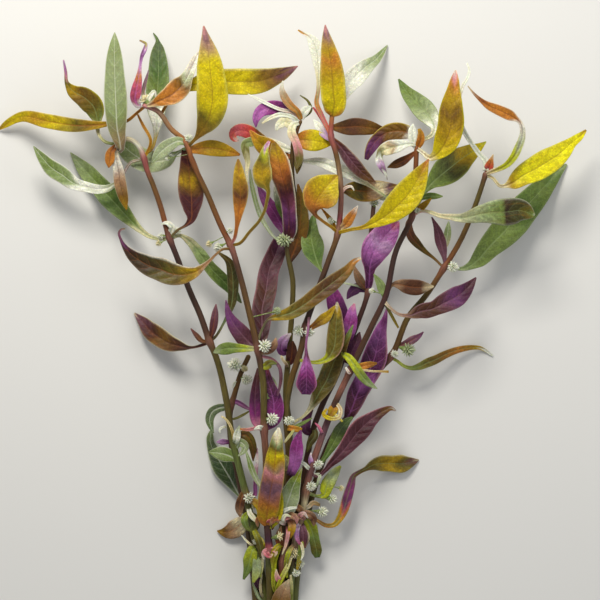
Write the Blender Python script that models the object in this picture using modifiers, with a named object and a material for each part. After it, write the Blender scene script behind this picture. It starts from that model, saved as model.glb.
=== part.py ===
"""A cut bunch of Alternanthera reineckii, lying on a table as it is seen from above.

Eight leafy stems fan out from a tight foot. The large leaves are pieces of their own. The flower
heads, buds and small leaves are fused to the stem that they grow from.

Places are read on a plan sheet of small squares: u counts squares to the right, v counts squares
down the sheet, from the shoot tips to the cut ends, and h is the height over the table in mm.
"""
import math

import bmesh
import bpy
import numpy as np
from mathutils import Vector

# The plan sheet
MM = 0.001
SQUARE = 0.4 * MM
MIDDLE_U, MIDDLE_V = 290.5, 329.5

# Leaves, in mm
LEAF_THICKNESS = 0.6
STALK_WIDTH = 1.3
TIP_WIDTH = 0.5
BARK_GAP = 0.3
LEAF_FOLD = 14.0            # degrees that each half of a blade stands up from the midrib
LEAF_WIDEST = 0.42          # share of the blade, from its foot, where it is widest
BLADE_FULLNESS = 2.2        # higher makes the blade more slender towards both ends
NARROW_LEAF = 12            # plan squares, below which a blade is flat and has no fold

# Stems, in mm
CUT_END_RADIUS = 1.6
SHOOT_TIP_RADIUS = 1.0
NODE_SWELLING = 1.25
STEM_STATIONS = 10
BEND_REACH = 30.0           # length of stem that asks for as many stations as one radian of bend
ROOT_DEPTH = 6              # line points from the shoot tip that a flower head grows from at least

GOLD, YELLOW = (0.58, 0.39, 0.02), (0.60, 0.42, 0.02)
OLIVE, BROWN = (0.20, 0.17, 0.02), (0.17, 0.07, 0.03)
SAGE, GREEN, DARK_GREEN = (0.40, 0.50, 0.24), (0.16, 0.28, 0.06), (0.07, 0.13, 0.05)
MAUVE, MAGENTA, PLUM = (0.22, 0.09, 0.12), (0.30, 0.05, 0.28), (0.15, 0.04, 0.12)
CREAM, ORANGE = (0.74, 0.76, 0.60), (0.60, 0.20, 0.04)
STEM_BROWN, STEM_OLIVE, STEM_PINK = (0.26, 0.12, 0.05), (0.22, 0.19, 0.04), (0.48, 0.17, 0.14)


def fresh_collection(name):
    """Make a collection of that name in the scene, in place of an older one."""
    old = bpy.data.collections.get(name)
    if old:
        bpy.data.collections.remove(old)
    made = bpy.data.collections.new(name)
    bpy.context.scene.collection.children.link(made)
    return made


for leftover in list(bpy.data.objects):
    bpy.data.objects.remove(leftover, do_unlink=True)
BUNCH = fresh_collection("alternanthera_bunch")
GRAFTS = fresh_collection("grafts")


def plant_material(name, colour, roughness=0.5):
    """Give a leaf or stem material: one plain colour and a soft, waxy roughness."""
    material = bpy.data.materials.new(name)
    material.use_nodes = True
    shader = material.node_tree.nodes["Principled BSDF"]
    shader.inputs["Base Color"].default_value = (*colour, 1.0)
    shader.inputs["Roughness"].default_value = roughness
    shader.inputs["Metallic"].default_value = 0.0
    return material


def on_table(points):
    """Turn rows of (u, v, h) on the plan sheet into metres over the table."""
    u, v, h = np.array(points, float).T
    return np.column_stack(((u - MIDDLE_U) * SQUARE, (MIDDLE_V - v) * SQUARE, h * MM))


def smooth_path(points, count):
    """Read count evenly spaced points from the smooth curve through the given ones.

    Each span is a cubic whose end slopes come from the neighbouring points (Catmull and Rom), with
    the chord lengths as its parameter.
    """
    points = np.asarray(points, float)
    steps = np.linalg.norm(np.diff(points, axis=0), axis=1)
    knots = np.concatenate(([0.0], np.cumsum(steps)))
    slopes = np.gradient(points, knots, axis=0)
    fine = np.linspace(0.0, knots[-1], 24 * len(points))
    span = np.clip(np.searchsorted(knots, fine, side="right") - 1, 0, len(points) - 2)
    length = steps[span][:, None]
    t = (fine - knots[span])[:, None] / length
    curve = ((2 * t**3 - 3 * t**2 + 1) * points[span] + (t**3 - 2 * t**2 + t) * length * slopes[span]
             + (3 * t**2 - 2 * t**3) * points[span + 1] + (t**3 - t**2) * length * slopes[span + 1])
    run = np.concatenate(([0.0], np.cumsum(np.linalg.norm(np.diff(curve, axis=0), axis=1))))
    even = np.linspace(0.0, run[-1], count)
    return np.column_stack([np.interp(even, run, curve[:, axis]) for axis in range(3)])


class Stem:
    """A stem's middle line and its radius, for the pieces that grow from it."""

    def __init__(self, points, foot_radius, tip_radius, nodes):
        self.line = smooth_path(on_table(points), 160)
        self.radius = np.linspace(foot_radius, tip_radius, len(self.line)) * MM
        self.nodes = sorted(self.nearest(node) for node in nodes)

    def nearest(self, plan_point):
        """Index of the line's point that is nearest to (u, v), seen from above."""
        place = on_table([(*plan_point, 0.0)])[0]
        return int(np.argmin(np.hypot(*(self.line[:, :2] - place[:2]).T)))

    def clear_of(self, path, clearance):
        """First index at which a path that starts in the stem is clear of its bark."""
        apart = np.linalg.norm(path[:, None, :] - self.line[None, :, :], axis=2) - self.radius
        inside = np.nonzero(apart.min(axis=1)[: len(path) // 2] < clearance)[0]
        return int(inside[-1]) + 1 if len(inside) else 0


STEMS = {}


def blade_width(share, width, stalk):
    """Half width along a leaf, in metres, for shares from 0 at its foot to 1 at its tip.

    The stalk is a plain strip. The blade rises and falls as x^a (1-x)^b, scaled to 1 where it is
    widest, so that both its ends are pointed. width is the leaf's full width in plan squares.
    """
    x = np.clip((share - stalk) / (1.0 - stalk), 0.0, 1.0)
    rise, fall = LEAF_WIDEST * BLADE_FULLNESS, (1.0 - LEAF_WIDEST) * BLADE_FULLNESS
    blade = (x / LEAF_WIDEST) ** rise * ((1.0 - x) / (1.0 - LEAF_WIDEST)) ** fall
    least = np.where(share < 0.5, STALK_WIDTH, TIP_WIDTH)
    return np.maximum(width * SQUARE * blade, np.minimum(least * MM, width * SQUARE)) * 0.5


def leaf_strip(name, path, half_width, roll, fold, columns):
    """Make a leaf's open middle surface: a strip across a path, folded up along its midrib.

    At each station the strip's side runs level, square to the path, and is then turned about the
    path by roll. A point at share s of the half width stands s * sin(fold) above the midrib.
    """
    ahead = np.gradient(path, axis=0)
    ahead /= np.linalg.norm(ahead, axis=1)[:, None]
    side = np.cross(ahead, (0.0, 0.0, 1.0))
    side /= np.linalg.norm(side, axis=1)[:, None]
    face = np.cross(side, ahead)
    turn = np.radians(np.interp(np.linspace(0, 1, len(path)), np.linspace(0, 1, len(roll)), roll))[:, None]
    side, face = side * np.cos(turn) + face * np.sin(turn), face * np.cos(turn) - side * np.sin(turn)
    across = np.linspace(-1.0, 1.0, columns)
    lean = math.radians(fold)
    width = half_width[:, None, None]
    grid = (path[:, None, :] + side[:, None, :] * across[None, :, None] * width * math.cos(lean)
            + face[:, None, :] * np.abs(across)[None, :, None] * width * math.sin(lean))
    lowest = LEAF_THICKNESS * 0.5 * MM
    grid[..., 2] = np.maximum(grid[..., 2], lowest)
    corner = np.arange(len(path) * columns).reshape(len(path), columns)
    faces = np.stack((corner[:-1, :-1], corner[1:, :-1], corner[1:, 1:], corner[:-1, 1:]), axis=-1)
    mesh = bpy.data.meshes.new(name)
    mesh.from_pydata(grid.reshape(-1, 3).tolist(), [], faces.reshape(-1, 4).tolist())
    made = bpy.data.objects.new(name, mesh)
    thick = made.modifiers.new("leaf thickness", "SOLIDIFY")
    thick.thickness = LEAF_THICKNESS * MM
    thick.offset = 0.0
    return made


def leaf(name, stem, colour, width, base, *points, roll=(0,), fold=LEAF_FOLD, stalk=0.14, stations=7):
    """A large leaf, a node of its own, from the bark of its stem at base to its tip."""
    grown = STEMS[stem]
    start = grown.line[grown.nearest(base)]
    path = smooth_path(np.vstack((start, on_table(points))), 200)
    path = path[grown.clear_of(path, (BARK_GAP + LEAF_THICKNESS) * MM):]
    path = smooth_path(path[:: max(1, len(path) // 60)], stations)
    half_width = blade_width(np.linspace(0.0, 1.0, stations), width, stalk)
    columns = 2 if width < NARROW_LEAF else 3
    made = leaf_strip(name, path, half_width, roll, fold, columns)
    made.data.materials.append(plant_material(name, colour))
    BUNCH.objects.link(made)
    return made


def leaflet(stem, width, base, *points, roll=0, stalk=0.1, stations=4):
    """A small leaf or bract that is fused to its stem: a flat strip that starts inside it."""
    grown = STEMS[stem]
    start = grown.line[grown.nearest(base)]
    path = smooth_path(np.vstack((start, on_table(points))), stations)
    half_width = blade_width(np.linspace(0.0, 1.0, stations), width, stalk)
    made = leaf_strip("leaflet", path, half_width, (roll,), 0.0, columns=2)
    GRAFTS.objects.link(made)
    return made


def flower_head(stem, u, v, radius, lift=0.0):
    """A flower head that is fused to its stem: a knobbly ball, drawn out to the stem's middle.

    radius is in plan squares and lift is how far, in mm, the head stands above the stem's middle.
    """
    grown = STEMS[stem]
    root = Vector(grown.line[min(grown.nearest((u, v)), len(grown.line) - ROOT_DEPTH)])
    centre = Vector(on_table([(u, v, 0.0)])[0])
    centre.z = root.z + lift * MM
    mesh = bpy.data.meshes.new("flower_head")
    ball = bmesh.new()
    bmesh.ops.create_icosphere(ball, subdivisions=1, radius=radius * SQUARE)
    knobs = [centre + corner.co for corner in ball.verts]
    ball.free()
    form = bmesh.new()
    for knob in (*knobs, root):
        form.verts.new(knob)
    bmesh.ops.convex_hull(form, input=form.verts)
    bmesh.ops.delete(form, geom=[v for v in form.verts if not v.link_faces], context="VERTS")
    bmesh.ops.recalc_face_normals(form, faces=form.faces)
    form.to_mesh(mesh)
    form.free()
    made = bpy.data.objects.new("flower_head", mesh)
    GRAFTS.objects.link(made)
    return made


def bare_stem(name, grown):
    """The stem itself: a round tube along its line, thicker at each node, closed at both ends.

    Its stations lie evenly in length plus bend, so they are closer where the stem curves.
    """
    steps = np.diff(grown.line, axis=0)
    ahead = steps / np.linalg.norm(steps, axis=1)[:, None]
    bend = np.arccos(np.clip((ahead[1:] * ahead[:-1]).sum(axis=1), -1.0, 1.0))
    need = np.concatenate(([0.0], np.cumsum(np.linalg.norm(steps, axis=1))))
    need[1:-1] += np.cumsum(bend) * BEND_REACH * MM
    need[-1] += bend.sum() * BEND_REACH * MM
    marks = np.searchsorted(need, np.linspace(0.0, need[-1], STEM_STATIONS)).clip(0, len(need) - 1)
    stations = sorted(set(mark for mark in marks if all(abs(mark - node) > 3 for node in grown.nodes))
                      | set(grown.nodes))
    curve = bpy.data.curves.new(name, "CURVE")
    curve.dimensions = "3D"
    curve.bevel_depth = 1.0
    curve.bevel_resolution = 2
    curve.use_fill_caps = True
    line = curve.splines.new("POLY")
    line.points.add(len(stations) - 1)
    for point, station in zip(line.points, stations):
        point.co = (*grown.line[station], 1.0)
        swelling = NODE_SWELLING if station in grown.nodes else 1.0
        point.radius = grown.radius[station] * swelling
    drawn = bpy.data.objects.new(name + "_curve", curve)
    GRAFTS.objects.link(drawn)
    bpy.context.view_layer.update()
    mesh = bpy.data.meshes.new_from_object(drawn.evaluated_get(bpy.context.evaluated_depsgraph_get()))
    form = bmesh.new()
    form.from_mesh(mesh)
    bmesh.ops.remove_doubles(form, verts=form.verts, dist=0.00001)
    bmesh.ops.recalc_face_normals(form, faces=form.faces)
    form.to_mesh(mesh)
    form.free()
    made = bpy.data.objects.new(name, mesh)
    made.matrix_world = drawn.matrix_world
    bpy.data.objects.remove(drawn, do_unlink=True)
    return made


def graft(body, piece):
    """Fuse a piece to a body with a Boolean union, and take the loose piece away."""
    union = body.modifiers.new("graft", "BOOLEAN")
    union.operation = "UNION"
    union.solver = "EXACT"
    union.object = piece
    bpy.context.view_layer.update()
    fused = bpy.data.meshes.new_from_object(body.evaluated_get(bpy.context.evaluated_depsgraph_get()))
    body.modifiers.clear()
    body.data = fused
    bpy.data.objects.remove(piece, do_unlink=True)


def leafy_stem(name, key, colour, heads, leaflets):
    """A whole stem node: the bare stem with its flower heads and small leaves fused on."""
    made = bare_stem(name, STEMS[key])
    BUNCH.objects.link(made)
    for head in heads:
        graft(made, flower_head(key, *head))
    for width, base, *points in leaflets:
        graft(made, leaflet(key, width, base, *points))
    made.data.materials.clear()
    made.data.materials.append(plant_material(name, colour, 0.45))
    made.data.shade_smooth()
    made.data.set_sharp_from_angle(angle=math.radians(40))
    return made


# The stems' middle lines, from the cut end to the shoot tip, as (u, v, h), and their nodes as (u, v)
STEMS["a"] = Stem([(266, 631, 1.6), (264, 600, 2.1), (260, 572, 4.0), (254, 540, 7.0), (246, 498, 10.5),
                   (238, 465, 12.5), (232, 440, 13.5), (226, 400, 15), (215, 355, 16.5), (210, 343, 17),
                   (200, 315, 17.3), (190, 292, 17.6), (176, 255, 18.2), (169, 237, 18.6),
                   (160, 205, 18.8), (153, 185, 19.2), (147, 170, 19.6), (144, 158, 20), (140, 148, 20.6),
                   (133, 141, 21.2), (126, 139, 21.8), (117, 145, 22.2)],
                  CUT_END_RADIUS, SHOOT_TIP_RADIUS, [(246, 498), (210, 343), (169, 237), (144, 158)])
STEMS["b"] = Stem([(270.5, 631, 5.1), (270, 600, 5.6), (269, 575, 8.0), (269, 553, 10), (267, 525, 12.8),
                   (266, 500, 15.2), (266, 460, 19), (264, 428, 22), (263, 380, 24), (258, 350, 25),
                   (250, 315, 25), (240, 275, 25), (231, 246, 25), (222, 228, 25.4), (208, 195, 26.2),
                   (192, 160, 26.8), (187, 144, 27), (172, 130, 28), (158, 112, 29), (143, 106, 29.4)],
                  CUT_END_RADIUS, SHOOT_TIP_RADIUS,
                  [(269, 553), (264, 428), (258, 350), (231, 246), (187, 144)])
STEMS["b2"] = Stem([(257, 631, 1.6), (255, 600, 1.6), (251, 560, 2.1), (246, 520, 3.2), (242, 500, 4.2),
                    (236, 470, 6.0), (230, 440, 7.4), (229, 425, 7.9), (231, 405, 8.6), (234, 395, 9.0),
                    (240, 375, 9.8), (249, 355, 10.6)],
                   CUT_END_RADIUS, SHOOT_TIP_RADIUS, [(231, 405)])
STEMS["c"] = Stem([(275, 631, 1.6), (276, 600, 1.8), (279, 560, 2.6), (283, 520, 4.2), (287, 480, 6.2),
                   (289, 425, 9), (286, 400, 10), (289, 350, 11.5), (292, 310, 12.8), (293, 285, 13.6),
                   (288, 240, 15), (293, 225, 16), (296, 205, 17.5), (293, 185, 19), (292, 165, 20.6),
                   (295, 135, 23), (301, 120, 24)],
                  1.5, 0.9, [(288, 240), (295, 135)])
STEMS["d"] = Stem([(279.5, 631, 5.2), (279.5, 600, 5.6), (282.5, 570, 7.4), (287, 525, 10.4),
                   (289, 480, 13.6), (288, 440, 17), (286, 415, 18.6), (287, 400, 19.1), (290, 385, 19.5), (302, 345, 20.6),
                   (305, 328, 21), (315, 298, 22), (328, 262, 23), (338, 232, 24), (340, 215, 24.5),
                   (341, 195, 25), (336, 155, 26.4), (331, 137, 27), (332, 115, 27.8)],
                  CUT_END_RADIUS, SHOOT_TIP_RADIUS, [(284, 565), (305, 328), (338, 232), (331, 137)])
STEMS["e"] = Stem([(288.5, 631, 5.2), (289.5, 600, 5.6), (293, 560, 7.4), (299, 527, 9.6), (302, 518, 10.4),
                   (306, 492, 12.2), (312, 466, 14.5), (318, 448, 16), (333, 408, 19), (350, 371, 21.6),
                   (372, 325, 24), (384, 300, 25), (396, 250, 26.6), (412, 215, 28), (415, 170, 29.2),
                   (416, 146, 30)],
                  CUT_END_RADIUS, SHOOT_TIP_RADIUS, [(306, 492), (312, 466), (350, 371), (412, 215)])
STEMS["f"] = Stem([(284, 631, 1.6), (285.5, 600, 1.8), (289.5, 560, 3.0), (296, 520, 4.6), (305, 470, 6.6),
                   (315, 425, 8.8), (325, 400, 10.2), (335, 380, 11.2), (347, 350, 12.6), (359, 320, 13.6),
                   (368, 292, 14), (369, 265, 14), (373, 215, 13.4), (375, 195, 13)],
                  1.5, 0.9, [(368, 292)])
STEMS["g"] = Stem([(293, 631, 1.6), (294.5, 600, 1.8), (299, 560, 2.8), (306.5, 520, 4.3), (317, 480, 6.0),
                   (332, 440, 7.8), (350, 415, 9.2), (365, 395, 10.4), (380, 370, 12), (391, 357, 12.8),
                   (410, 315, 15.2), (425, 297, 16.6), (444, 268, 18.6), (458, 245, 20), (477, 200, 22.2),
                   (486, 172, 24)],
                  CUT_END_RADIUS, SHOOT_TIP_RADIUS, [(391, 357), (444, 268), (486, 172)])

# Each stem node: name, key, colour, flower heads as (u, v, radius, lift), small leaves
leafy_stem("stem_a_far_left", "a", STEM_PINK,
           [(160, 236, 4), (176, 231, 5), (248, 500, 6, 1.5)],
           [(6, (115, 147), (110, 158, 22), (107, 169, 21.5)),
            (4, (142, 152), (148, 138, 23), (134, 112, 22.6)),
            (9, (169, 235), (166, 226, 20), (161, 222, 20.5)),
            (8, (210, 342), (216, 325, 18.5), (217, 305, 19)),
            (6, (207, 338), (198, 333, 17.3), (190, 328, 17.5)),
            (12, (120, 143), (118, 160, 21), (121, 188, 20), (126, 211, 18)),
            (11, (236, 458), (222, 454, 11.5), (206, 452, 10.5)),
            (4, (233, 440), (228, 421, 16), (219, 416, 15.5)),
            (11, (234, 446), (243, 440, 15), (240, 424, 15)),
            (4, (246, 500), (255, 490, 12), (256, 452, 13)),
            (9, (249, 515), (257, 524, 9.5), (252, 535, 9))])
leafy_stem("stem_b_left", "b", STEM_BROWN,
           [(189, 139, 5, 0.5), (219, 248, 6), (231, 233, 4, 1), (266, 345, 7, 1.5), (272, 419, 7, 1),
            (148, 103, 7, 0), (172, 154, 4, -2), (277, 538, 6, 1), (275, 312, 5, 3)],
           [(4, (147, 107), (144, 95, 27), (149, 71, 25)),
            (8, (187, 142), (170, 142, 28.6), (152, 158, 24.5)),
            (14, (189, 148), (212, 148, 25), (240, 155, 22)),
            (16, (258, 347), (238, 331, 23), (225, 300, 24)),
            (11, (256, 350), (238, 348, 25.6), (213, 353, 23.5)),
            (12, (260, 352), (268, 348, 27), (275, 338, 27.5)),
            (5, (260, 356), (279, 368, 24.5), (277, 395, 23)),
            (8, (263, 370), (272, 364, 25.5), (279, 357, 26)),
            (12, (264, 428), (254, 405, 20.5), (255, 372, 21)),
            (10, (264, 420), (273, 392, 21.5), (264, 372, 20.6))])
leafy_stem("stem_b2_side", "b2", STEM_BROWN,
           [(235, 366, 7), (247, 377, 5)],
           [(12, (231, 405), (212, 410, 8.2), (214, 437, 9.5)),
            (4, (231, 406), (240, 403, 9.5), (250, 411, 10)),
            (15, (245, 521), (233, 532, 2.5), (216, 534, 0.6)),
            (11, (251, 553), (248, 567, 1.6), (243, 582, 0.6))])
leafy_stem("stem_c_middle_left", "c", STEM_OLIVE,
           [(284, 240, 8, 1), (301, 332, 5, 1), (289, 420, 5, 2)],
           [(7, (291, 228), (279, 200, 14.5), (274, 184, 14)),
            (14, (289, 238), (268, 204, 11), (258, 181, 9)),
            (12, (289, 352), (283, 352, 13.5), (291, 331, 14.5)),
            (8, (292, 160), (270, 143, 21.4), (244, 137, 22)),
            (17, (294, 136), (310, 142, 22.6), (331, 145, 21.5)),
            (9, (295, 138), (299, 155, 22), (296, 176, 20.6)),
            (11, (300, 121), (283, 112, 25), (262, 114, 25.5), (257, 129, 25)),
            (5, (300, 120), (281, 111, 27), (248, 94, 26)),
            (8, (300, 121), (286, 106, 28), (282, 84, 29))])
leafy_stem("stem_d_middle", "d", STEM_PINK,
           [(332, 220, 5, 1), (346, 222, 4, 0), (307, 333, 6, 1)],
           [(4, (337, 232), (330, 215, 22.5), (322, 206, 21.5)),
            (8, (339, 230), (350, 219, 26.5), (357, 206, 27)),
            (8, (331, 138), (322, 128, 25), (314, 119, 24)),
            (15, (334, 128), (360, 127, 23.6), (390, 131, 20)),
            (6, (305, 328), (320, 322, 23.4), (334, 311, 24)),
            (10, (289, 470), (286, 460, 17.4), (287, 448, 18.6)),
            (6, (287, 428), (296, 427, 20.6), (303, 428, 20.6)),
            (5, (287, 515), (279, 508, 13.5), (281, 494, 15)),
            (15, (289, 474), (293, 462, 19.5), (297, 448, 21.5), (298, 430, 22.5)),
            (15, (287, 516), (292, 497, 14.8), (303, 468, 17.6))])
leafy_stem("stem_e_middle_right", "e", STEM_PINK,
           [(417, 210, 4, 1), (372, 300, 4, 0), (319, 463, 6, 1), (311, 488, 6, 1), (322, 511, 7, 1),
            (299, 548, 6, 1), (297, 573, 5, 1.5)],
           [(9, (416, 152), (402, 162, 28), (387, 168, 26)),
            (9, (416, 148), (412, 136, 31), (414, 124, 31.5)),
            (7, (412, 200), (426, 197, 28.5), (442, 197, 29)),
            (6, (412, 214), (422, 207, 29.8), (431, 199, 30.5)),
            (8, (385, 297), (376, 288, 23), (373, 272, 22)),
            (14, (385, 299), (402, 284, 22.5), (434, 287, 21)),
            (8, (354, 363), (364, 371, 24.5), (379, 389, 24)),
            (8, (355, 362), (367, 363, 24.5), (379, 367, 23.5)),
            (11, (306, 493), (326, 490, 13), (341, 465, 13.6)),
            (7, (333, 408), (341, 412, 21), (339, 422, 21), (329, 421, 21)),
            (14, (313, 466), (330, 447, 14.4), (352, 415, 15.6))])
leafy_stem("stem_f_back", "f", STEM_BROWN,
           [(361, 288, 3, 0)],
           [(14, (374, 199), (385, 192, 12.6), (390, 184, 12)),
            (12, (352, 338), (338, 320, 14.6), (325, 288, 15)),
            (11, (347, 350), (347, 330, 16), (355, 303, 18.5)),
            (11, (367, 290), (358, 288, 15), (348, 298, 15)),
            (7, (314, 428), (318, 440, 10.5), (309, 452, 11))])
leafy_stem("stem_g_right", "g", STEM_OLIVE,
           [(452, 267, 6, 2), (408, 351, 8, 0.5), (491, 162, 5, 0)],
           [(10, (444, 268), (426, 253, 16.6), (410, 213, 16)),
            (9, (446, 264), (443, 240, 21), (434, 217, 22)),
            (8, (448, 261), (446, 240, 17.2), (450, 220, 16.6)),
            (7, (396, 347), (410, 342, 14), (424, 333, 14.4))])


# The large leaves: name, stem, colour, width, then the base on the stem and the way to the tip

# Upper left, on stems a and b
leaf("leaf_sage_upright", "a", SAGE, 25, (122, 142), (119, 128, 24.5), (117, 90, 27), (116, 60, 28),
     (115, 33, 26.5))
leaf("leaf_gold_far_left", "b", GOLD, 14, (146, 107), (137, 114, 25.5), (128, 121, 23.5),
     (108, 124, 21), (75, 125, 17), (45, 120, 12), (20, 115, 7), (0, 124, 2.4), (-6, 128, 0.6),
     stations=10)
leaf("leaf_curled_left", "a", OLIVE, 21, (118, 144), (104, 141, 19.5), (98, 133, 17.4), (97, 120, 16.6),
     (93, 106, 17), (85, 98, 18), (72, 90, 19.4), (67, 83, 20.6), (66, 72, 22), (64, 60, 24),
     stations=10)
leaf("leaf_pale_green_left", "a", SAGE, 17, (144, 160), (134, 161, 16.8), (126, 167, 16.2),
     (114, 185, 15.6), (95, 187, 15), (70, 178, 14), (50, 165, 13.4), (32, 145, 14.5), stalk=0.22,
     stations=9)
leaf("leaf_long_green_left", "a", GREEN, 25, (169, 237), (160, 240, 16.6), (140, 228, 11.6),
     (122, 210, 8.6), (105, 192, 6), (90, 172, 3.6), (67, 150, 0.3), stations=9)
leaf("leaf_light_green_behind", "b", SAGE, 24, (188, 146), (180, 152, 23), (165, 160, 17),
     (145, 160, 14), (128, 150, 12), (112, 130, 10), (105, 118, 8.4), stations=9)
leaf("leaf_dark_green_upright", "a", DARK_GREEN, 24, (144, 157), (152, 148, 18), (154, 128, 16.4),
     (152, 110, 14.6), (155, 75, 10), (155, 45, 4.6), (151, 29, 0.3))
leaf("leaf_pink_bud", "b", MAGENTA, 9, (143, 106), (137, 100, 30.5), (136, 92, 31), (139, 80, 31),
     (142, 65, 30.5), (146, 52, 30), (141, 42, 30), stations=7)
leaf("leaf_twisted_orange", "b", ORANGE, 24, (151, 110), (158, 106, 32.4), (164, 101, 32.8),
     (178, 94, 31.4), (188, 78, 29.4), (199, 54, 26), stalk=0.08)
leaf("leaf_yellow_upright_left", "b", YELLOW, 31, (188, 146), (194, 147, 30), (201, 136, 32),
     (209, 115, 34.4), (212, 95, 36), (210, 70, 37), (208, 50, 37), (205, 27, 35), stalk=0.2)
leaf("leaf_yellow_level", "b", YELLOW, 27, (160, 115), (172, 99, 26), (188, 88, 25), (210, 82, 24),
     (235, 82, 22), (258, 81, 19), (280, 74, 15), (299, 64, 10), stalk=0.2)
leaf("leaf_golden_brown", "b", GOLD, 17, (231, 246), (235, 238, 27.6), (238, 222, 29), (241, 205, 30),
     (241, 185, 30.6), (239, 170, 30.6), (237, 158, 29.6), stalk=0.2)
leaf("leaf_maroon_band", "a", BROWN, 26, (169, 237), (179, 228, 22.8), (190, 221, 23.2),
     (192, 210, 22.8), (190, 190, 22.4), (187, 165, 23.4), (184, 152, 25), stalk=0.2)
leaf("leaf_maroon_crescent", "b", BROWN, 23, (230, 248), (222, 255, 27.8), (210, 262, 28.2),
     (200, 270, 27.8), (190, 274, 27), (170, 272, 26.4), (150, 265, 26), (135, 255, 26.4),
     (124, 243, 27.4), (120, 233, 28.4), (126, 229, 29), stalk=0.12, stations=10)
leaf("leaf_light_green_low", "a", GREEN, 17, (169, 237), (181, 237, 16), (195, 247, 15.2),
     (205, 262, 14.6), (222, 280, 13), (240, 302, 9))
leaf("leaf_orange_left", "a", ORANGE, 17, (210, 343), (200, 345, 15), (185, 348, 12.6), (165, 342, 8.6),
     (148, 330, 4.4), (131, 312, 0.3))
leaf("leaf_olive_behind", "a", OLIVE, 12, (210, 341), (225, 322, 15.8), (232, 305, 16.8),
     (233, 280, 17.6), (228, 258, 18.4), (215, 250, 18.6), stalk=0.2)
leaf("leaf_dusty_mauve", "b", MAUVE, 22, (259, 350), (263, 340, 22), (265, 320, 18.4), (267, 295, 14.6),
     (271, 270, 11), (278, 247, 8), (281, 238, 7), stalk=0.1)

# Upper middle, on stems b, c and d
leaf("leaf_yellow_green_centre", "b", YELLOW, 20, (232, 246), (239, 243, 26.4), (247, 235, 27.4),
     (257, 225, 28.4), (263, 215, 29), (267, 203, 29.6), (269, 192, 30), (264, 170, 30),
     (271, 143, 28.6), stalk=0.45)
leaf("leaf_orange_magenta", "c", ORANGE, 20, (288, 240), (290, 230, 18.6), (288, 215, 20.6),
     (286, 195, 22.8), (282, 175, 24.4), (278, 158, 25), (273, 144, 24.6), stalk=0.1)
leaf("leaf_white_olive", "c", CREAM, 11, (262, 147), (250, 148, 24), (248, 160, 24.6), (248, 183, 24),
     stalk=0.2, stations=6)
leaf("leaf_green_behind_middle", "d", GREEN, 24, (324, 273), (318, 264, 20), (312, 250, 18),
     (308, 235, 16), (313, 215, 13), stalk=0.08)
leaf("leaf_golden_centre", "d", GOLD, 27, (338, 232), (333, 229, 26), (322, 221, 28.4),
     (314, 212, 29.6), (315, 200, 30.4), (324, 188, 30.8), (337, 176, 29.8), stalk=0.12)
leaf("leaf_white_upright", "d", CREAM, 14, (331, 137), (323, 121, 27.4), (316, 107, 27),
     (318, 85, 27.6), (316, 60, 28), (312, 42, 28), (305, 35, 28.4), (297, 30, 29), stalk=0.25,
     stations=9)
leaf("leaf_orange_yellow_upright", "d", YELLOW, 27, (332, 118), (333, 110, 30.4), (331, 95, 32),
     (329, 75, 33), (327, 50, 33.4), (325, 27, 32), stalk=0.06)
leaf("leaf_white_green_top", "d", SAGE, 24, (332, 117), (337, 110, 25.4), (345, 88, 21.6),
     (360, 73, 16), (375, 58, 9), (389, 42, 0.3), stalk=0.08)
leaf("leaf_white_arch", "c", CREAM, 10, (292, 160), (303, 161, 18.8), (320, 162, 19), (338, 169, 19.6),
     (355, 177, 20.2), (372, 187, 19.4), (388, 198, 18.4))
leaf("leaf_mauve_pale_margin", "d", MAUVE, 14, (332, 138), (340, 147, 25), (350, 160, 25),
     (363, 174, 23.6), (376, 183, 22.4), stations=7)
leaf("leaf_dark_brown_behind", "d", BROWN, 12, (341, 190), (352, 190, 19.4), (365, 191, 16.6),
     (385, 188, 15.6), (398, 185, 15.6), stations=7)

# Upper right, on stems d, e and g
leaf("leaf_big_yellow_front", "d", YELLOW, 30, (338, 232), (348, 231, 28), (362, 226, 31),
     (382, 216, 33.6), (398, 203, 35.4), (412, 185, 36.6), (428, 160, 37), stalk=0.12)
leaf("leaf_arching_brown", "e", BROWN, 18, (416, 149), (411, 142, 28), (400, 132, 27.4), (385, 133, 26),
     (372, 143, 25), (367, 160, 24.4), stalk=0.08, stations=9)
leaf("leaf_white_violet_tip", "e", CREAM, 15, (416, 147), (407, 147, 32.2), (398, 148, 32.4),
     (384, 151, 31.6), (379, 162, 30.6), (385, 181, 29), stalk=0.1, stations=9)
leaf("leaf_green_top_right", "e", GREEN, 25, (416, 148), (424, 141, 27.4), (430, 134, 25.6),
     (433, 124, 23.4), (428, 110, 20.6), (413, 95, 15.6), (398, 76, 9), stalk=0.1)
leaf("leaf_yellow_orange_right", "e", YELLOW, 27, (416, 149), (424, 155, 32.4), (433, 157, 34.4),
     (441, 140, 36.4), (447, 120, 37.4), (451, 95, 37.8), (453, 72, 36.4), stalk=0.2)
leaf("leaf_white_long", "g", CREAM, 8, (485, 174), (481, 160, 26), (473, 148, 27), (462, 131, 28),
     (457, 112, 28.6), (459, 95, 28.6), (465, 78, 28), (467, 63, 27), stations=9)
leaf("leaf_ribbon", "g", ORANGE, 11, (486, 174), (494, 172, 26.6), (505, 168, 28), (514, 160, 28.6),
     (520, 148, 29), (523, 138, 29.6), (521, 127, 30), (508, 115, 30.6), (495, 109, 31),
     (483, 104, 31.4), (475, 97, 31.6), (465, 87, 31.6), stations=12)
leaf("leaf_broad_green_yellow", "e", GREEN, 30, (412, 214), (419, 202, 26.6), (428, 190, 25.4),
     (445, 172, 22.6), (465, 157, 19), (487, 141, 14), stalk=0.14)
leaf("leaf_cupped_end", "e", OLIVE, 18, (412, 215), (430, 214, 30), (440, 217, 30.6), (465, 218, 30.2),
     (490, 213, 29), (512, 211, 28), (534, 216, 27), fold=22, stations=9)
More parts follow.
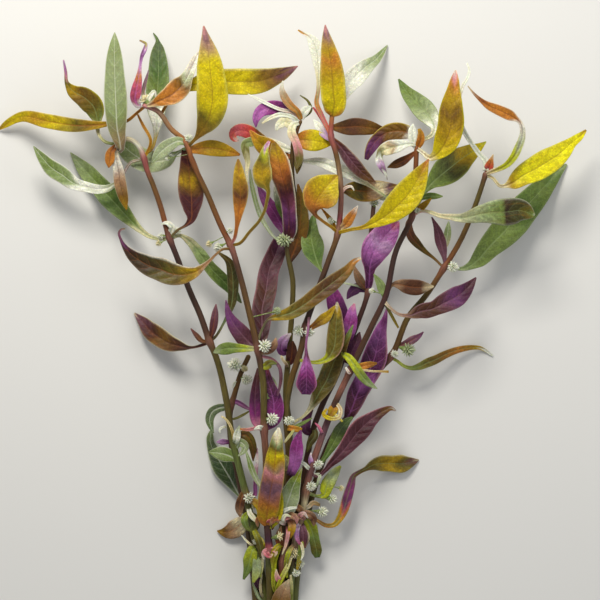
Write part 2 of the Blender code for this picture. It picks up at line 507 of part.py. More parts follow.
leaf("leaf_bright_yellow_right", "g", YELLOW, 29, (486, 175), (492, 182, 24.6), (500, 186, 24.8),
     (520, 175, 24), (545, 160, 22), (567, 146, 19), (587, 129, 15), stalk=0.08)
leaf("leaf_big_green_right", "g", GREEN, 37, (444, 268), (455, 269, 15.6), (478, 258, 12),
     (500, 238, 9.4), (522, 218, 6.8), (545, 193, 3.8), (571, 163, 0.3), stalk=0.1)

# Middle, on stems b, d, e, f and g
leaf("leaf_brown_purple", "e", MAUVE, 24, (384, 300), (392, 306, 26.2), (402, 312, 26.4),
     (420, 311, 26), (440, 304, 24.8), (458, 293, 23.2), (476, 277, 21), stalk=0.1)
leaf("leaf_arched_low_right", "g", OLIVE, 9, (391, 357), (403, 365, 11.4), (415, 368, 10),
     (432, 361, 7.4), (450, 354, 4.6), (470, 349, 2.2), (483, 349, 1.0), (496, 356, 0.3), stations=9)
leaf("leaf_pink_violet", "f", MAGENTA, 28, (368, 291), (370, 280, 16.4), (370, 267, 17.8),
     (373, 257, 18.2), (380, 245, 18.2), (390, 233, 17.8), (400, 221, 16.6), stalk=0.12)
leaf("leaf_big_magenta", "g", MAGENTA, 28, (345, 421), (351, 409, 12.6), (358, 395, 15), (370, 370, 17),
     (379, 342, 17.6), (386, 308, 17.6), stalk=0.1)
leaf("leaf_long_brown_olive", "b", OLIVE, 15, (257, 345), (263, 328, 27.4), (275, 319, 27.2),
     (290, 314, 27), (305, 305, 26.8), (320, 292, 26.6), (335, 281, 26), (350, 268, 25), (361, 258, 24),
     stalk=0.2, stations=9)
leaf("leaf_olive_pale_tip", "d", OLIVE, 17, (297, 360), (307, 361, 22.4), (316, 360, 22.8),
     (328, 354, 22.8), (334, 335, 22.8), (337, 315, 22.6), (337, 302, 22.4), stalk=0.14, stations=9)
leaf("leaf_long_olive_brown", "d", OLIVE, 22, (288, 432), (299, 423, 17.6), (312, 408, 17.6),
     (322, 390, 17.2), (331, 372, 17.2), (339, 356, 18), (346, 340, 19.6), (353, 325, 20.6), stalk=0.12)
leaf("leaf_magenta_teardrop", "d", MAGENTA, 18, (310, 314), (311, 326, 25.6), (310, 344, 26.4),
     (308, 362, 26.4), (306, 378, 25.6), (302, 395, 25), stalk=0.08)
leaf("leaf_front_mauve_gold", "b", GOLD, 24, (266, 530), (268, 512, 17), (269, 498, 19.4),
     (273, 475, 23), (275, 450, 25.6), (276, 428, 27), stalk=0.1)
leaf("leaf_rolled_olive_right", "e", OLIVE, 16, (302, 519), (317, 521, 9.4), (326, 526, 8.4),
     (335, 525, 8), (341, 515, 8), (346, 500, 8), (350, 488, 8), (357, 473, 7.4), (368, 467, 6),
     (385, 465, 3.8), (403, 465, 1.8), (421, 462, 0.3), stalk=0.5, stations=12)
leaf("leaf_plum", "e", PLUM, 19, (310, 475), (322, 476, 15.4), (335, 460, 18), (347, 445, 18.6),
     (360, 428, 19), (372, 417, 19), (385, 411, 18.4), (397, 410, 17.4), stalk=0.12)
leaf("leaf_grey_green_low", "b2", SAGE, 25, (242, 502), (236, 492, 2.6), (230, 482, 1.6),
     (220, 465, 0.9), (210, 448, 0.5), (208, 432, 0.3), stalk=0.08)
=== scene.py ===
import math

import bpy
import numpy as np
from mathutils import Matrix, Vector


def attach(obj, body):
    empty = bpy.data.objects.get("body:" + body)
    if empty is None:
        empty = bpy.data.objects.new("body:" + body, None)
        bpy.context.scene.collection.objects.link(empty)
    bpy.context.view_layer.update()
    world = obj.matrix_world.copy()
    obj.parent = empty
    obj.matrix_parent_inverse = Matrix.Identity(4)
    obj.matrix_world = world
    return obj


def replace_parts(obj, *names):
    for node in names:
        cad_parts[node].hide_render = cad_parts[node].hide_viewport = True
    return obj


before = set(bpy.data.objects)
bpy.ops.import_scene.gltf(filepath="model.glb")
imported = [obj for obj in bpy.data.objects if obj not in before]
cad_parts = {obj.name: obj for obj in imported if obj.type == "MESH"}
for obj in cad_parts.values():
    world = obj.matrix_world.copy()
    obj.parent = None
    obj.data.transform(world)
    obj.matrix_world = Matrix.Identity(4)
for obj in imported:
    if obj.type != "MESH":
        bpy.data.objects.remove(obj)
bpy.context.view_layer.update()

# The cut stems
# Eight soft, jointed stems, drawn out from a tight foot like a fan. Each is a round shoot with fine
# ridges, swollen at its nodes where the leaves sit, and cut straight across at its foot. The skin is
# olive or red brown and flushes pink over the nodes.

MM = 0.001
SQUARE = 0.4 * MM                                   # one square of the plan sheet
MIDDLE_U, MIDDLE_V = 290.5, 329.5                   # the square over the middle of the frame
LINE_POINTS = 160
RIDGES, RIDGE_DEPTH, RIDGE_TWIST = 7, 0.03, 0.01    # number, share of the radius, radians a mm
NODE_SWELLING, NODE_REACH = 0.30, 2.2               # a share of the radius, and mm along the stem
NODE_RING, RING_AHEAD, RING_REACH = 0.07, 0.8, 0.3  # the same for the ring, which sits past the node
NODE_FLUSH, FLUSH_REACH = 0.60, 2.6                 # how far the tint turns to salmon, and mm
CUT_EDGE = 0.93                                     # radius of the cut end as a share of the stem's

# The dark tints such as brown, mauve and dusk are set darker than the leaves' own colour, partly as painted
# shade for the dim foot and the leaves between the stems.
TINTS = {
    "gold": (0.44, 0.28, 0.004), "yellow": (0.62, 0.51, 0.002), "lime": (0.44, 0.48, 0.010),
    "orange": (0.50, 0.19, 0.02), "rust": (0.28, 0.080, 0.014), "bronze": (0.17, 0.085, 0.008),
    "brown": (0.080, 0.028, 0.010), "umber": (0.036, 0.014, 0.008), "maroon": (0.055, 0.010, 0.013),
    "olive": (0.125, 0.100, 0.008), "moss": (0.048, 0.044, 0.008), "leek": (0.150, 0.215, 0.040),
    "green": (0.070, 0.135, 0.020), "bottle": (0.030, 0.060, 0.018), "fern": (0.090, 0.125, 0.055),
    "sage": (0.235, 0.305, 0.115), "silver": (0.42, 0.48, 0.27), "white": (0.80, 0.81, 0.68),
    "cream": (0.76, 0.68, 0.40), "pink": (0.68, 0.27, 0.29), "rose": (0.50, 0.085, 0.12),
    "mauve": (0.110, 0.034, 0.048), "dusk": (0.21, 0.095, 0.125), "lilac": (0.56, 0.33, 0.56),
    "violet": (0.150, 0.038, 0.140), "magenta": (0.25, 0.030, 0.175), "orchid": (0.46, 0.14, 0.42),
    "plum": (0.070, 0.011, 0.048), "purple": (0.045, 0.008, 0.050), "red": (0.52, 0.05, 0.03),
    "tan": (0.40, 0.25, 0.13), "salmon": (0.36, 0.14, 0.10), "lemon": (0.80, 0.74, 0.003),
}


def on_table(points):
    """Rows of (u, v, h) on the plan sheet as metres: u to the right, v down the sheet, h mm up."""
    u, v, h = np.array(points, float).T
    return np.column_stack(((u - MIDDLE_U) * SQUARE, (MIDDLE_V - v) * SQUARE, h * MM))


def smooth_path(points, count):
    """Count evenly spaced points on the smooth curve through the given ones.

    Each span is a cubic with end slopes from the neighbouring points, and the distance between the
    points as its parameter.
    """
    points = np.asarray(points, float)
    steps = np.linalg.norm(np.diff(points, axis=0), axis=1)
    knots = np.concatenate(([0.0], np.cumsum(steps)))
    slopes = np.gradient(points, knots, axis=0)
    fine = np.linspace(0.0, knots[-1], 24 * len(points))
    span = np.clip(np.searchsorted(knots, fine, side="right") - 1, 0, len(points) - 2)
    length = steps[span][:, None]
    t = (fine - knots[span])[:, None] / length
    curve = ((2 * t**3 - 3 * t**2 + 1) * points[span] + (t**3 - 2 * t**2 + t) * length * slopes[span]
             + (3 * t**2 - 2 * t**3) * points[span + 1] + (t**3 - t**2) * length * slopes[span + 1])
    run = np.concatenate(([0.0], np.cumsum(np.linalg.norm(np.diff(curve, axis=0), axis=1))))
    even = np.linspace(0.0, run[-1], count)
    return np.column_stack([np.interp(even, run, curve[:, axis]) for axis in range(3)])


def unit(vectors):
    """Each row of an array divided by its length."""
    return vectors / np.linalg.norm(vectors, axis=-1, keepdims=True)


def tint_along(stops, shares):
    """Colours blended along a piece, from stops such as "0 leek, 40 rose, 100 pink".

    Each stop is a percent of the length and a tint. Tints without a percent are evenly spaced.
    """
    stops = [stop.split() for stop in stops.split(", ")]
    even = np.linspace(0.0, 100.0, len(stops))
    places = [float(stop[0]) if len(stop) > 1 else place for stop, place in zip(stops, even)]
    colours = np.array([TINTS[stop[-1]] for stop in stops])
    return np.stack([np.interp(shares * 100.0, places, channel) for channel in colours.T], axis=-1)


def ring_faces(rows, around):
    """Faces of a closed tube of rows x around points: a skin of quads and a cap at both ends."""
    corner = np.arange(rows * around).reshape(rows, around)
    beside = np.roll(corner, -1, axis=1)
    skin = np.stack((corner[:-1], beside[:-1], beside[1:], corner[1:]), axis=-1).reshape(-1, 4)
    return skin.tolist() + [corner[0][::-1].tolist(), corner[-1].tolist()]


def add_piece(name, parts):
    """One mesh object from (points, faces, marks, material) parts; marks become point attributes."""
    starts = np.cumsum([0] + [len(part[0]) for part in parts[:-1]])
    points = np.concatenate([part[0] for part in parts])
    faces = [[corner + int(start) for corner in face] for part, start in zip(parts, starts)
             for face in part[1]]
    mesh = bpy.data.meshes.new(name)
    mesh.from_pydata(points.tolist(), [], faces)
    mesh.polygons.foreach_set("use_smooth", [True] * len(mesh.polygons))
    materials = list(dict.fromkeys(part[3] for part in parts))
    for material in materials:
        mesh.materials.append(material)
    mesh.polygons.foreach_set("material_index", np.concatenate(
        [np.full(len(part[1]), materials.index(part[3]), np.int32) for part in parts]))
    for mark in parts[0][2]:
        values = np.concatenate([part[2][mark] for part in parts]).astype(np.float32)
        colour = mark == "tint"
        layer = mesh.attributes.new(mark, "FLOAT_COLOR" if colour else "FLOAT_VECTOR", "POINT")
        values = np.column_stack((values, np.ones(len(values)))) if colour else values
        layer.data.foreach_set("color" if colour else "vector", values.ravel())
    piece = bpy.data.objects.new(name, mesh)
    bpy.context.scene.collection.objects.link(piece)
    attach(piece, "root")
    return piece


class Stem:
    """A stem's middle line, its radius and its nodes, which the other pieces grow from."""

    def __init__(self, points, foot_radius, tip_radius, nodes):
        self.line = smooth_path(on_table(points), LINE_POINTS)
        self.radius = np.linspace(foot_radius, tip_radius, len(self.line)) * MM
        self.nodes = [self.nearest(node) for node in nodes]

    def nearest(self, plan_point):
        """Index of the line's point that is nearest to (u, v), seen from above."""
        place = on_table([(*plan_point, 0.0)])[0]
        return int(np.argmin(np.hypot(*(self.line[:, :2] - place[:2]).T)))

    def clear_of(self, path, clearance):
        """First index at which a path that starts in the stem is clear of its bark."""
        apart = np.linalg.norm(path[:, None, :] - self.line[None, :, :], axis=2) - self.radius
        inside = np.nonzero(apart.min(axis=1)[: len(path) // 2] < clearance)[0]
        return int(inside[-1]) + 1 if len(inside) else 0

    def skin(self, stops, rows=320, around=28):
        """The stem's surface: radius times angle about the line.

        The radius runs evenly from foot to tip. Each node adds a bell-shaped swelling and a narrow
        ring, fine ridges run lengthwise as a cosine of the angle, and the tip closes like a dome.
        """
        line = smooth_path(self.line, rows)
        run = np.linspace(0.0, np.linalg.norm(np.diff(self.line, axis=0), axis=1).sum(), rows) / MM
        ahead = unit(np.gradient(line, axis=0))
        side = unit(np.cross(ahead, (0.0, 0.0, 1.0)))
        face = np.cross(side, ahead)
        radius = np.linspace(self.radius[0], self.radius[-1], rows)
        flush = np.zeros(rows)
        for node in self.nodes:
            off = run - run[-1] * node / (len(self.line) - 1)
            swelling = NODE_SWELLING * np.exp(-(off / NODE_REACH) ** 2)
            radius *= 1.0 + swelling + NODE_RING * np.exp(-((off - RING_AHEAD) / RING_REACH) ** 2)
            flush = np.maximum(flush, np.exp(-(off / FLUSH_REACH) ** 2))
        dome = np.clip((run[-1] - run) * MM / radius[-1], 0.0, 1.0)
        radius *= np.sqrt(np.clip(1.0 - (1.0 - dome) ** 2, 0.02, 1.0))
        radius[0] *= CUT_EDGE
        angle = np.linspace(0.0, 2.0 * np.pi, around, endpoint=False)
        ridge = RIDGE_DEPTH * (np.cos(RIDGES * angle[None, :] + RIDGE_TWIST * run[:, None]) - 1.0)
        reach = radius[:, None] * (1.0 + ridge)
        points = (line[:, None, :] + side[:, None, :] * (reach * np.cos(angle))[..., None]
                  - face[:, None, :] * (reach * np.sin(angle))[..., None])
        tint = tint_along(stops, np.linspace(0.0, 1.0, rows))
        tint += (np.array(TINTS["salmon"]) - tint) * (NODE_FLUSH * flush)[:, None]
        round_about = np.broadcast_to(np.stack((np.cos(angle), np.sin(angle)), axis=-1), (rows, around, 2))
        grain = np.concatenate((round_about, np.broadcast_to(run[:, None, None], (rows, around, 1))), axis=2)
        return (points.reshape(-1, 3), ring_faces(rows, around),
                {"tint": np.repeat(tint, around, axis=0), "place": grain.reshape(-1, 3)})


def wired(tree, kind, inputs=(), **settings):
    """A new node in the tree. Each input is a plain value, or the output that feeds it."""
    made = tree.nodes.new(kind)
    for key, value in settings.items():
        setattr(made, key, value)
    for key, value in dict(inputs).items():
        if isinstance(value, bpy.types.NodeSocket):
            tree.links.new(value, made.inputs[key])
        else:
            made.inputs[key].default_value = value
    return made


def marked(tree, name, output="Vector"):
    """The output of a point attribute, which the mesh carries under its name."""
    return wired(tree, "ShaderNodeAttribute", attribute_name=name).outputs[output]


def scaled(tree, vector, factors):
    """A vector times three factors."""
    return wired(tree, "ShaderNodeVectorMath", {0: vector, 1: factors}, operation="MULTIPLY").outputs[0]


def noise(tree, vector, scale, detail=3.0, roughness=0.5):
    """Cloudy noise between 0 and 1, over a vector."""
    settings = {"Vector": vector, "Scale": scale, "Detail": detail, "Roughness": roughness}
    return wired(tree, "ShaderNodeTexNoise", settings).outputs["Fac"]


def blended(tree, factor, first, second, how="MIX"):
    """The output of a colour mix: a factor, and two colours or the outputs that feed them."""
    return wired(tree, "ShaderNodeMix", {0: factor, 6: first, 7: second},
                 data_type="RGBA", blend_type=how).outputs[2]


def filtered(tree, colour, red, green, blue):
    """A colour with each channel multiplied."""
    return blended(tree, 1.0, colour, (red, green, blue, 1.0), "MULTIPLY")


def fade(tree, value, start, end, low=0.0, high=1.0):
    """A smooth step of a value: low at start, high at end."""
    return wired(tree, "ShaderNodeMapRange", {0: value, 1: start, 2: end, 3: low, 4: high},
                 interpolation_type="SMOOTHSTEP").outputs[0]


def plant_skin(name):
    """A fresh material, its tree and its shader, with a soft waxy shine."""
    material = bpy.data.materials.new(name)
    material.use_nodes = True
    shader = material.node_tree.nodes["Principled BSDF"]
    shader.inputs["Subsurface Radius"].default_value = (1.0, 0.6, 0.2)
    shader.inputs["Subsurface Scale"].default_value = 0.6 * MM
    shader.inputs["Specular IOR Level"].default_value = 0.22
    return material, material.node_tree, shader


def raised(tree, shader, height, strength, distance):
    """Fine relief on a shader, from a height between 0 and 1 and the distance that it stands for."""
    bump = wired(tree, "ShaderNodeBump", {"Height": height, "Strength": strength, "Distance": distance})
    tree.links.new(bump.outputs[0], shader.inputs["Normal"])


def bark_material():
    """Stem skin: the stem's own tint, darkened in fine lengthwise streaks, lightened in long blotches of
    painted highlight, and dulled a little.
    """
    material, tree, shader = plant_skin("stem skin")
    tint = marked(tree, "tint", "Color")
    drawn_out = scaled(tree, marked(tree, "place"), (1.0, 1.0, 0.06))
    streak = noise(tree, drawn_out, 5.0, detail=5.0, roughness=0.6)
    blotch = noise(tree, drawn_out, 1.6, detail=2.0)
    streaked = blended(tree, fade(tree, streak, 0.35, 0.65, 0.0, 0.75), tint,
                       filtered(tree, tint, 0.42, 0.34, 0.36))
    # Painted highlight: lighter lengthwise blotches over the streaked tint.
    lit = blended(tree, fade(tree, blotch, 0.50, 0.75, 0.0, 0.5), streaked,
                  filtered(tree, tint, 1.5, 1.45, 1.2))
    dull = blended(tree, 0.32, lit, (0.070, 0.050, 0.038, 1.0))
    tree.links.new(dull, shader.inputs["Base Color"])
    tree.links.new(fade(tree, streak, 0.3, 0.7, 0.52, 0.36), shader.inputs["Roughness"])
    raised(tree, shader, streak, strength=0.5, distance=0.1 * MM)
    shader.inputs["Subsurface Weight"].default_value = 0.08
    return material


BARK = bark_material()
# Each stem: the solid that it stands for, its slot, its tints from foot to tip, its middle line from
# the cut end to the shoot tip as (u, v, h), its foot and tip radius in mm, and its nodes as (u, v)
STEMS = {}
for key, node, slot, stops, line, radii, nodes in [
    # Stem a's white and cream band near its tip is partly painted highlight on the lit top of its arch.
    ("a", "stem_a_far_left", "stem_pink",
     "0 leek, 15 olive, 27 leek, 34 leek, 40 olive, 53 olive, 58 brown, 70 umber, 76.5 maroon, 80 rust, "
     "88 bronze, 92.5 rose, 95 white, 97.5 cream, 100 pink",
     [(266, 631, 1.6), (264, 600, 2.1), (260, 572, 4.0), (254, 540, 7.0), (246, 498, 10.5),
      (238, 465, 12.5), (232, 440, 13.5), (226, 400, 15), (215, 355, 16.5), (210, 343, 17),
      (200, 315, 17.3), (190, 292, 17.6), (176, 255, 18.2), (169, 237, 18.6), (160, 205, 18.8),
      (153, 185, 19.2), (147, 170, 19.6), (144, 158, 20), (140, 148, 20.6), (133, 141, 21.2),
      (126, 139, 21.8), (117, 145, 22.2)],
     (1.6, 1.0), [(246, 498), (210, 343), (169, 237), (144, 158)]),
    ("b", "stem_b_left", "stem_brown",
     "0 olive, 10 olive, 13 leek, 14.2 pink, 15 rose, 16 plum, 19 brown, 30 bronze, 36 salmon, 39 olive, "
     "46 olive, 49 brown, 51 brown, 56 bronze, 66 brown, 69 salmon, 72 rust, 80 bronze, 87 rust, "
     "90 orange, 96 tan, 100 pink",
     [(270.5, 631, 5.1), (270, 600, 5.6), (269, 575, 8.0), (269, 553, 10), (267, 525, 12.8),
      (266, 500, 15.2), (266, 460, 19), (264, 428, 22), (263, 380, 24), (258, 350, 25), (250, 315, 25),
      (240, 275, 25), (231, 246, 25), (222, 228, 25.4), (208, 195, 26.2), (192, 160, 26.8), (187, 144, 27),
      (172, 130, 28), (158, 112, 29), (143, 106, 29.4)],
     (1.6, 1.0), [(269, 553), (264, 428), (258, 350), (231, 246), (187, 144)]),
    ("b2", "stem_b2_side", "stem_brown",
     "olive, brown, bronze",
     [(257, 631, 1.6), (255, 600, 1.6), (251, 560, 2.1), (246, 520, 3.2), (242, 500, 4.2), (236, 470, 6.0),
      (230, 440, 7.4), (229, 425, 7.9), (231, 405, 8.6), (234, 395, 9.0), (240, 375, 9.8),
      (249, 355, 10.6)],
     (1.6, 1.0), [(231, 405)]),
    ("c", "stem_c_middle_left", "stem_olive",
     "leek, olive, olive, olive, olive, moss, bronze",
     [(275, 631, 1.6), (276, 600, 1.8), (279, 560, 2.6), (283, 520, 4.2), (287, 480, 6.2), (289, 425, 9),
      (286, 400, 10), (289, 350, 11.5), (292, 310, 12.8), (293, 285, 13.6), (288, 240, 15), (293, 225, 16),
      (296, 205, 17.5), (293, 185, 19), (292, 165, 20.6), (295, 135, 23), (301, 120, 24)],
     (1.5, 0.9), [(288, 240), (295, 135)]),
    ("d", "stem_d_middle", "stem_pink",
     "0 lime, 8 leek, 11 rust, 13.5 salmon, 15 tan, 17 salmon, 20 brown, 30 bronze, 45 olive, 50 bronze, "
     "60 umber, 70 brown, 76.5 bronze, 78.2 tan, 80 rose, 81.5 salmon, 84 salmon, 88 tan, 92 bronze, "
     "96 rose, 100 orange",
     [(279.5, 631, 5.2), (279.5, 600, 5.6), (282.5, 570, 7.4), (287, 525, 10.4), (289, 480, 13.6),
      (288, 440, 17), (286, 415, 18.6), (287, 400, 19.1), (290, 385, 19.5), (302, 345, 20.6),
      (305, 328, 21), (315, 298, 22), (328, 262, 23), (338, 232, 24), (340, 215, 24.5), (341, 195, 25),
      (336, 155, 26.4), (331, 137, 27), (332, 115, 27.8)],
     (1.6, 1.0), [(284, 565), (305, 328), (338, 232), (331, 137)]),
    ("e", "stem_e_middle_right", "stem_pink",
     "0 lime, 10 leek, 14 brown, 16.5 tan, 18.5 cream, 21 tan, 25.5 cream, 27.5 tan, 30 salmon, 33 dusk, "
     "36 salmon, 40 dusk, 43 mauve, 47 brown, 50 salmon, 53 brown, 64 brown, 70 maroon, 80 umber, "
     "86 brown, 100 rust",
     [(288.5, 631, 5.2), (289.5, 600, 5.6), (293, 560, 7.4), (299, 527, 9.6), (302, 518, 10.4),
      (306, 492, 12.2), (312, 466, 14.5), (318, 448, 16), (333, 408, 19), (350, 371, 21.6), (372, 325, 24),
      (384, 300, 25), (396, 250, 26.6), (412, 215, 28), (415, 170, 29.2), (416, 146, 30)],
     (1.6, 1.0), [(306, 492), (312, 466), (350, 371), (412, 215)]),
    ("f", "stem_f_back", "stem_brown",
     "olive, brown, maroon, brown",
     [(284, 631, 1.6), (285.5, 600, 1.8), (289.5, 560, 3.0), (296, 520, 4.6), (305, 470, 6.6),
      (315, 425, 8.8), (325, 400, 10.2), (335, 380, 11.2), (347, 350, 12.6), (359, 320, 13.6),
      (368, 292, 14), (369, 265, 14), (373, 215, 13.4), (375, 195, 13)],
     (1.5, 0.9), [(368, 292)]),
    ("g", "stem_g_right", "stem_olive",
     "0 leek, 20 olive, 40 maroon, 50 maroon, 57 brown, 63 bronze, 70 olive, 75 bronze, 80 rust, "
     "86 bronze, 95 olive, 100 brown",
     [(293, 631, 1.6), (294.5, 600, 1.8), (299, 560, 2.8), (306.5, 520, 4.3), (317, 480, 6.0),
      (332, 440, 7.8), (350, 415, 9.2), (365, 395, 10.4), (380, 370, 12), (391, 357, 12.8),
      (410, 315, 15.2), (425, 297, 16.6), (444, 268, 18.6), (458, 245, 20), (477, 200, 22.2),
      (486, 172, 24)],
     (1.6, 1.0), [(391, 357), (444, 268), (486, 172)]),
]:
    STEMS[key] = Stem(line, *radii, nodes)
    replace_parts(add_piece(f"bare_stem_{key}", [(*STEMS[key].skin(stops), BARK)]), node)

# The large leaves
# Lance-shaped leaves on short channelled stalks, each a thin soft blade that is folded a little along
# its midrib, puffed between its side veins, and thinned to a faintly waved margin that is pale, partly
# from painted highlight along the edge. The midrib is sunk in the upper face and stands proud below.
# Each sits in an axil, hard against the bark.

LEAF_WIDEST, BLADE_FULLNESS = 0.42, 2.2            # share of the blade's length, and a plain power
STALK_WIDTH, TIP_WIDTH = 1.3, 0.3                  # mm
STALK_SUNK = 0.4 * MM                              # how deep a large leaf's stalk starts in the bark
PATH_POINTS, CLEAR_POINTS = 200, 60
LEAF_ROWS, LEAF_COLUMNS, CROWDING = 84, 23, 1.3    # columns crowd to the midrib by this power
FOLD_REACH = 0.14                                  # share of the half width in which the blade bends up
VEIN_PAIRS, VEIN_DRIFT, VEIN_HOOK = 9, 0.7, 0.6    # drift of a side vein per half width, and its growth
PUFF = 0.13 * MM
STALK_THICK, BLADE_THICK, MARGIN_THINNER = 1.0 * MM, 0.42 * MM, 0.24 * MM
RIB_WIDTH, RIB_PROUD, RIB_SUNK = 0.42 * MM, 0.42 * MM, 0.16 * MM
TABLE_GAP = 0.05 * MM
LARGE_WAVE, SMALL_WAVE = (0.05, 3.0, 0.0), (0.05, 2.0, 0.0)  # height, number and start of the ripples
WAVE_OFFSET = 0.31                                 # how far the two margins' ripples are out of step
# A leaf's rim is a pale tint along its margins, partly painted highlight; the bare rim has none.
BARE_RIM = ("white", 0.0, 0.0)                     # a tint, and how far each margin turns to it
RIM_START, RIM_FADE = 0.85, 0.12                   # shares of the half width
BAND_LEAN, BAND_SWAY = 0.05, 0.018                 # shares of the leaf's length


def half_widths(share, width, stalk):
    """Half width along a leaf, in metres, for shares from 0 at its foot to 1 at its tip.

    A single width is the greatest one: the blade then rises and falls as x^a (1-x)^b over a plain
    stalk. Several are the full widths at even stations, joined by a smooth curve.
    """
    if isinstance(width, tuple):
        stations = np.column_stack((np.linspace(0.0, 100.0, len(width)), width, np.zeros(len(width))))
        curve = smooth_path(stations, 400)
        full = np.interp(share * 100.0, curve[:, 0], curve[:, 1]) * SQUARE
        return np.maximum(full, TIP_WIDTH * MM) * 0.5
    x = np.clip((share - stalk) / (1.0 - stalk), 0.0, 1.0)
    rise, fall = LEAF_WIDEST * BLADE_FULLNESS, (1.0 - LEAF_WIDEST) * BLADE_FULLNESS
    blade = (x / LEAF_WIDEST) ** rise * ((1.0 - x) / (1.0 - LEAF_WIDEST)) ** fall
    least = np.where(share < 0.5, STALK_WIDTH, TIP_WIDTH)
    return np.maximum(width * SQUARE * blade, np.minimum(least * MM, width * SQUARE)) * 0.5


def along_stations(values, share):
    """Values at even stations along a leaf, joined by cosine steps, read at each share."""
    values = np.atleast_1d(np.asarray(values, float))
    place = share * (len(values) - 1)
    before = np.clip(place.astype(int), 0, max(len(values) - 2, 0))
    step = 0.5 - 0.5 * np.cos(np.pi * np.clip(place - before, 0.0, 1.0))
    return values[before] + (values[np.minimum(before + 1, len(values) - 1)] - values[before]) * step


def blade(path, half_width, tints, stalk, roll, fold, curl, wave, under, rim, columns=LEAF_COLUMNS):
    """A closed thin leaf along a path: an upper and a lower face that meet in a narrow edge.

    Across the leaf, the lean of the blade is fold * (1 - e^(-x / reach)) + curl * x to each side of
    the midrib, and the height is the integral of its sine. The margin adds wave * x^2 times a sine
    along the leaf. Side veins run at a vein number n = (along - drift * across) / spacing, and the
    blade puffs up between them as 1 - cos(2 pi n). under turns the leaf's lower face up. The tints
    lie in bands that lean back towards the margins. rim is a pale tint, partly the margin's own and
    partly painted highlight, that the two margins, left and right of the path, turn to by the two
    shares given.
    """
    rows = len(path)
    share = np.linspace(0.0, 1.0, rows)
    ahead = unit(np.gradient(path, axis=0))
    side = unit(np.cross(ahead, (0.0, 0.0, 1.0)))
    face = np.cross(side, ahead)
    turn = np.radians(along_stations(roll, share))[:, None]
    side, face = side * np.cos(turn) + face * np.sin(turn), face * np.cos(turn) - side * np.sin(turn)
    spread = np.linspace(-1.0, 1.0, columns)
    across = np.sign(spread) * np.abs(spread) ** CROWDING
    edge, hand = np.abs(across)[None, :], np.sign(across)[None, :]
    lean = np.radians(along_stations(fold, share))[:, None] * (1.0 - np.exp(-edge / FOLD_REACH))
    lean = hand * (lean + np.radians(along_stations(curl, share))[:, None] * edge)
    middle_lean = 0.5 * (lean[:, 1:] + lean[:, :-1])
    steps = np.diff(across)[None, :]
    run = np.pad(np.cumsum(np.cos(middle_lean) * steps, axis=1), ((0, 0), (1, 0)))
    rise = np.pad(np.cumsum(np.sin(middle_lean) * steps, axis=1), ((0, 0), (1, 0)))
    run -= run[:, columns // 2, None]
    rise -= rise[:, columns // 2, None]
    length = np.linalg.norm(np.diff(path, axis=0), axis=1).sum()
    width = half_width[:, None]
    swell = np.sin(np.pi * np.clip((share - stalk) / (1.0 - stalk), 0.0, 1.0))[:, None] ** 0.5
    amount, ripples, start = wave
    ripple = np.sin(2.0 * np.pi * (ripples * share[:, None] + start + WAVE_OFFSET * hand))
    rise = rise + amount * edge**2 * swell * ripple
    spacing = length * (1.0 - stalk) / VEIN_PAIRS
    vein = (length * share[:, None] - edge * width * (VEIN_DRIFT + VEIN_HOOK * edge)) / spacing
    puff = PUFF * (1.0 - np.cos(2.0 * np.pi * vein)) * edge * (1.0 - edge) * 4.0 * swell
    puff *= np.clip(width / (3.0 * MM), 0.0, 1.0)
    plump = np.clip(1.15 - share / max(stalk, 0.02), 0.0, 1.0)[:, None]
    taper = np.clip((1.0 - share) * 12.0, 0.25, 1.0)[:, None]
    stalk_thick = STALK_THICK * np.sqrt(1.0 - 0.85 * edge**2)
    blade_thick = BLADE_THICK - MARGIN_THINNER * edge**2
    thick = (plump * stalk_thick + (1.0 - plump) * blade_thick) * taper
    rib = np.exp(-(across[None, :] * width / RIB_WIDTH) ** 2) * (1.0 - 0.7 * share[:, None])
    proud, sunk = RIB_PROUD * rib, RIB_SUNK * rib
    puff_way = -1.0 if under else 1.0
    above = 0.5 * thick + puff_way * puff + (proud if under else -sunk)
    below = -0.5 * thick + puff_way * puff + (sunk if under else -proud)
    skin = (path[:, None, :] + side[:, None, :] * (run * width)[..., None]
            + face[:, None, :] * (rise * width)[..., None])
    normal = face[:, None, :] * np.cos(lean)[..., None] - side[:, None, :] * np.sin(lean)[..., None]
    points = np.concatenate((skin + normal * above[..., None],
                             (skin + normal * below[..., None])[:, ::-1]), axis=1)
    points[..., 2] = np.maximum(points[..., 2], TABLE_GAP)
    both = np.concatenate((across, across[::-1]))
    lower = np.repeat((1.0, 0.0) if under else (0.0, 1.0), columns)
    around = 2 * columns
    blade_mark = np.stack(np.broadcast_arrays(share[:, None], both[None, :], lower[None, :]), axis=-1)
    place = np.stack((np.broadcast_to(length * share[:, None] / MM, (rows, around)),
                      both[None, :] * width / MM, np.concatenate((vein, vein[:, ::-1]), axis=1)), axis=-1)
    # Pale rim along the margins, partly painted highlight: each margin turns to the rim tint by its share.
    rim_tint, left, right = rim
    edging = np.clip((np.abs(both) - RIM_START) / RIM_FADE, 0.0, 1.0) * np.where(both < 0.0, left, right)
    edging = edging[None, :, None] * np.clip(width / (1.2 * MM), 0.0, 1.0)[..., None]
    sway = BAND_SWAY * np.sin(3.3 * both[None, :] + 23.0 * share[:, None])
    band = share[:, None] - BAND_LEAN * np.abs(both)[None, :] + sway
    tint = tint_along(tints, np.clip(band, 0.0, 1.0))
    tint = (tint + (np.array(TINTS[rim_tint]) - tint) * edging).reshape(-1, 3)
    return (points.reshape(-1, 3), ring_faces(rows, around),
            {"tint": tint, "blade": blade_mark.reshape(-1, 3), "place": place.reshape(-1, 3)})


def maths(tree, operation, *inputs):
    """The output of a Math node."""
    return wired(tree, "ShaderNodeMath", enumerate(inputs), operation=operation).outputs[0]


def times(tree, first, second):
    """The product of two values."""
    return maths(tree, "MULTIPLY", first, second)


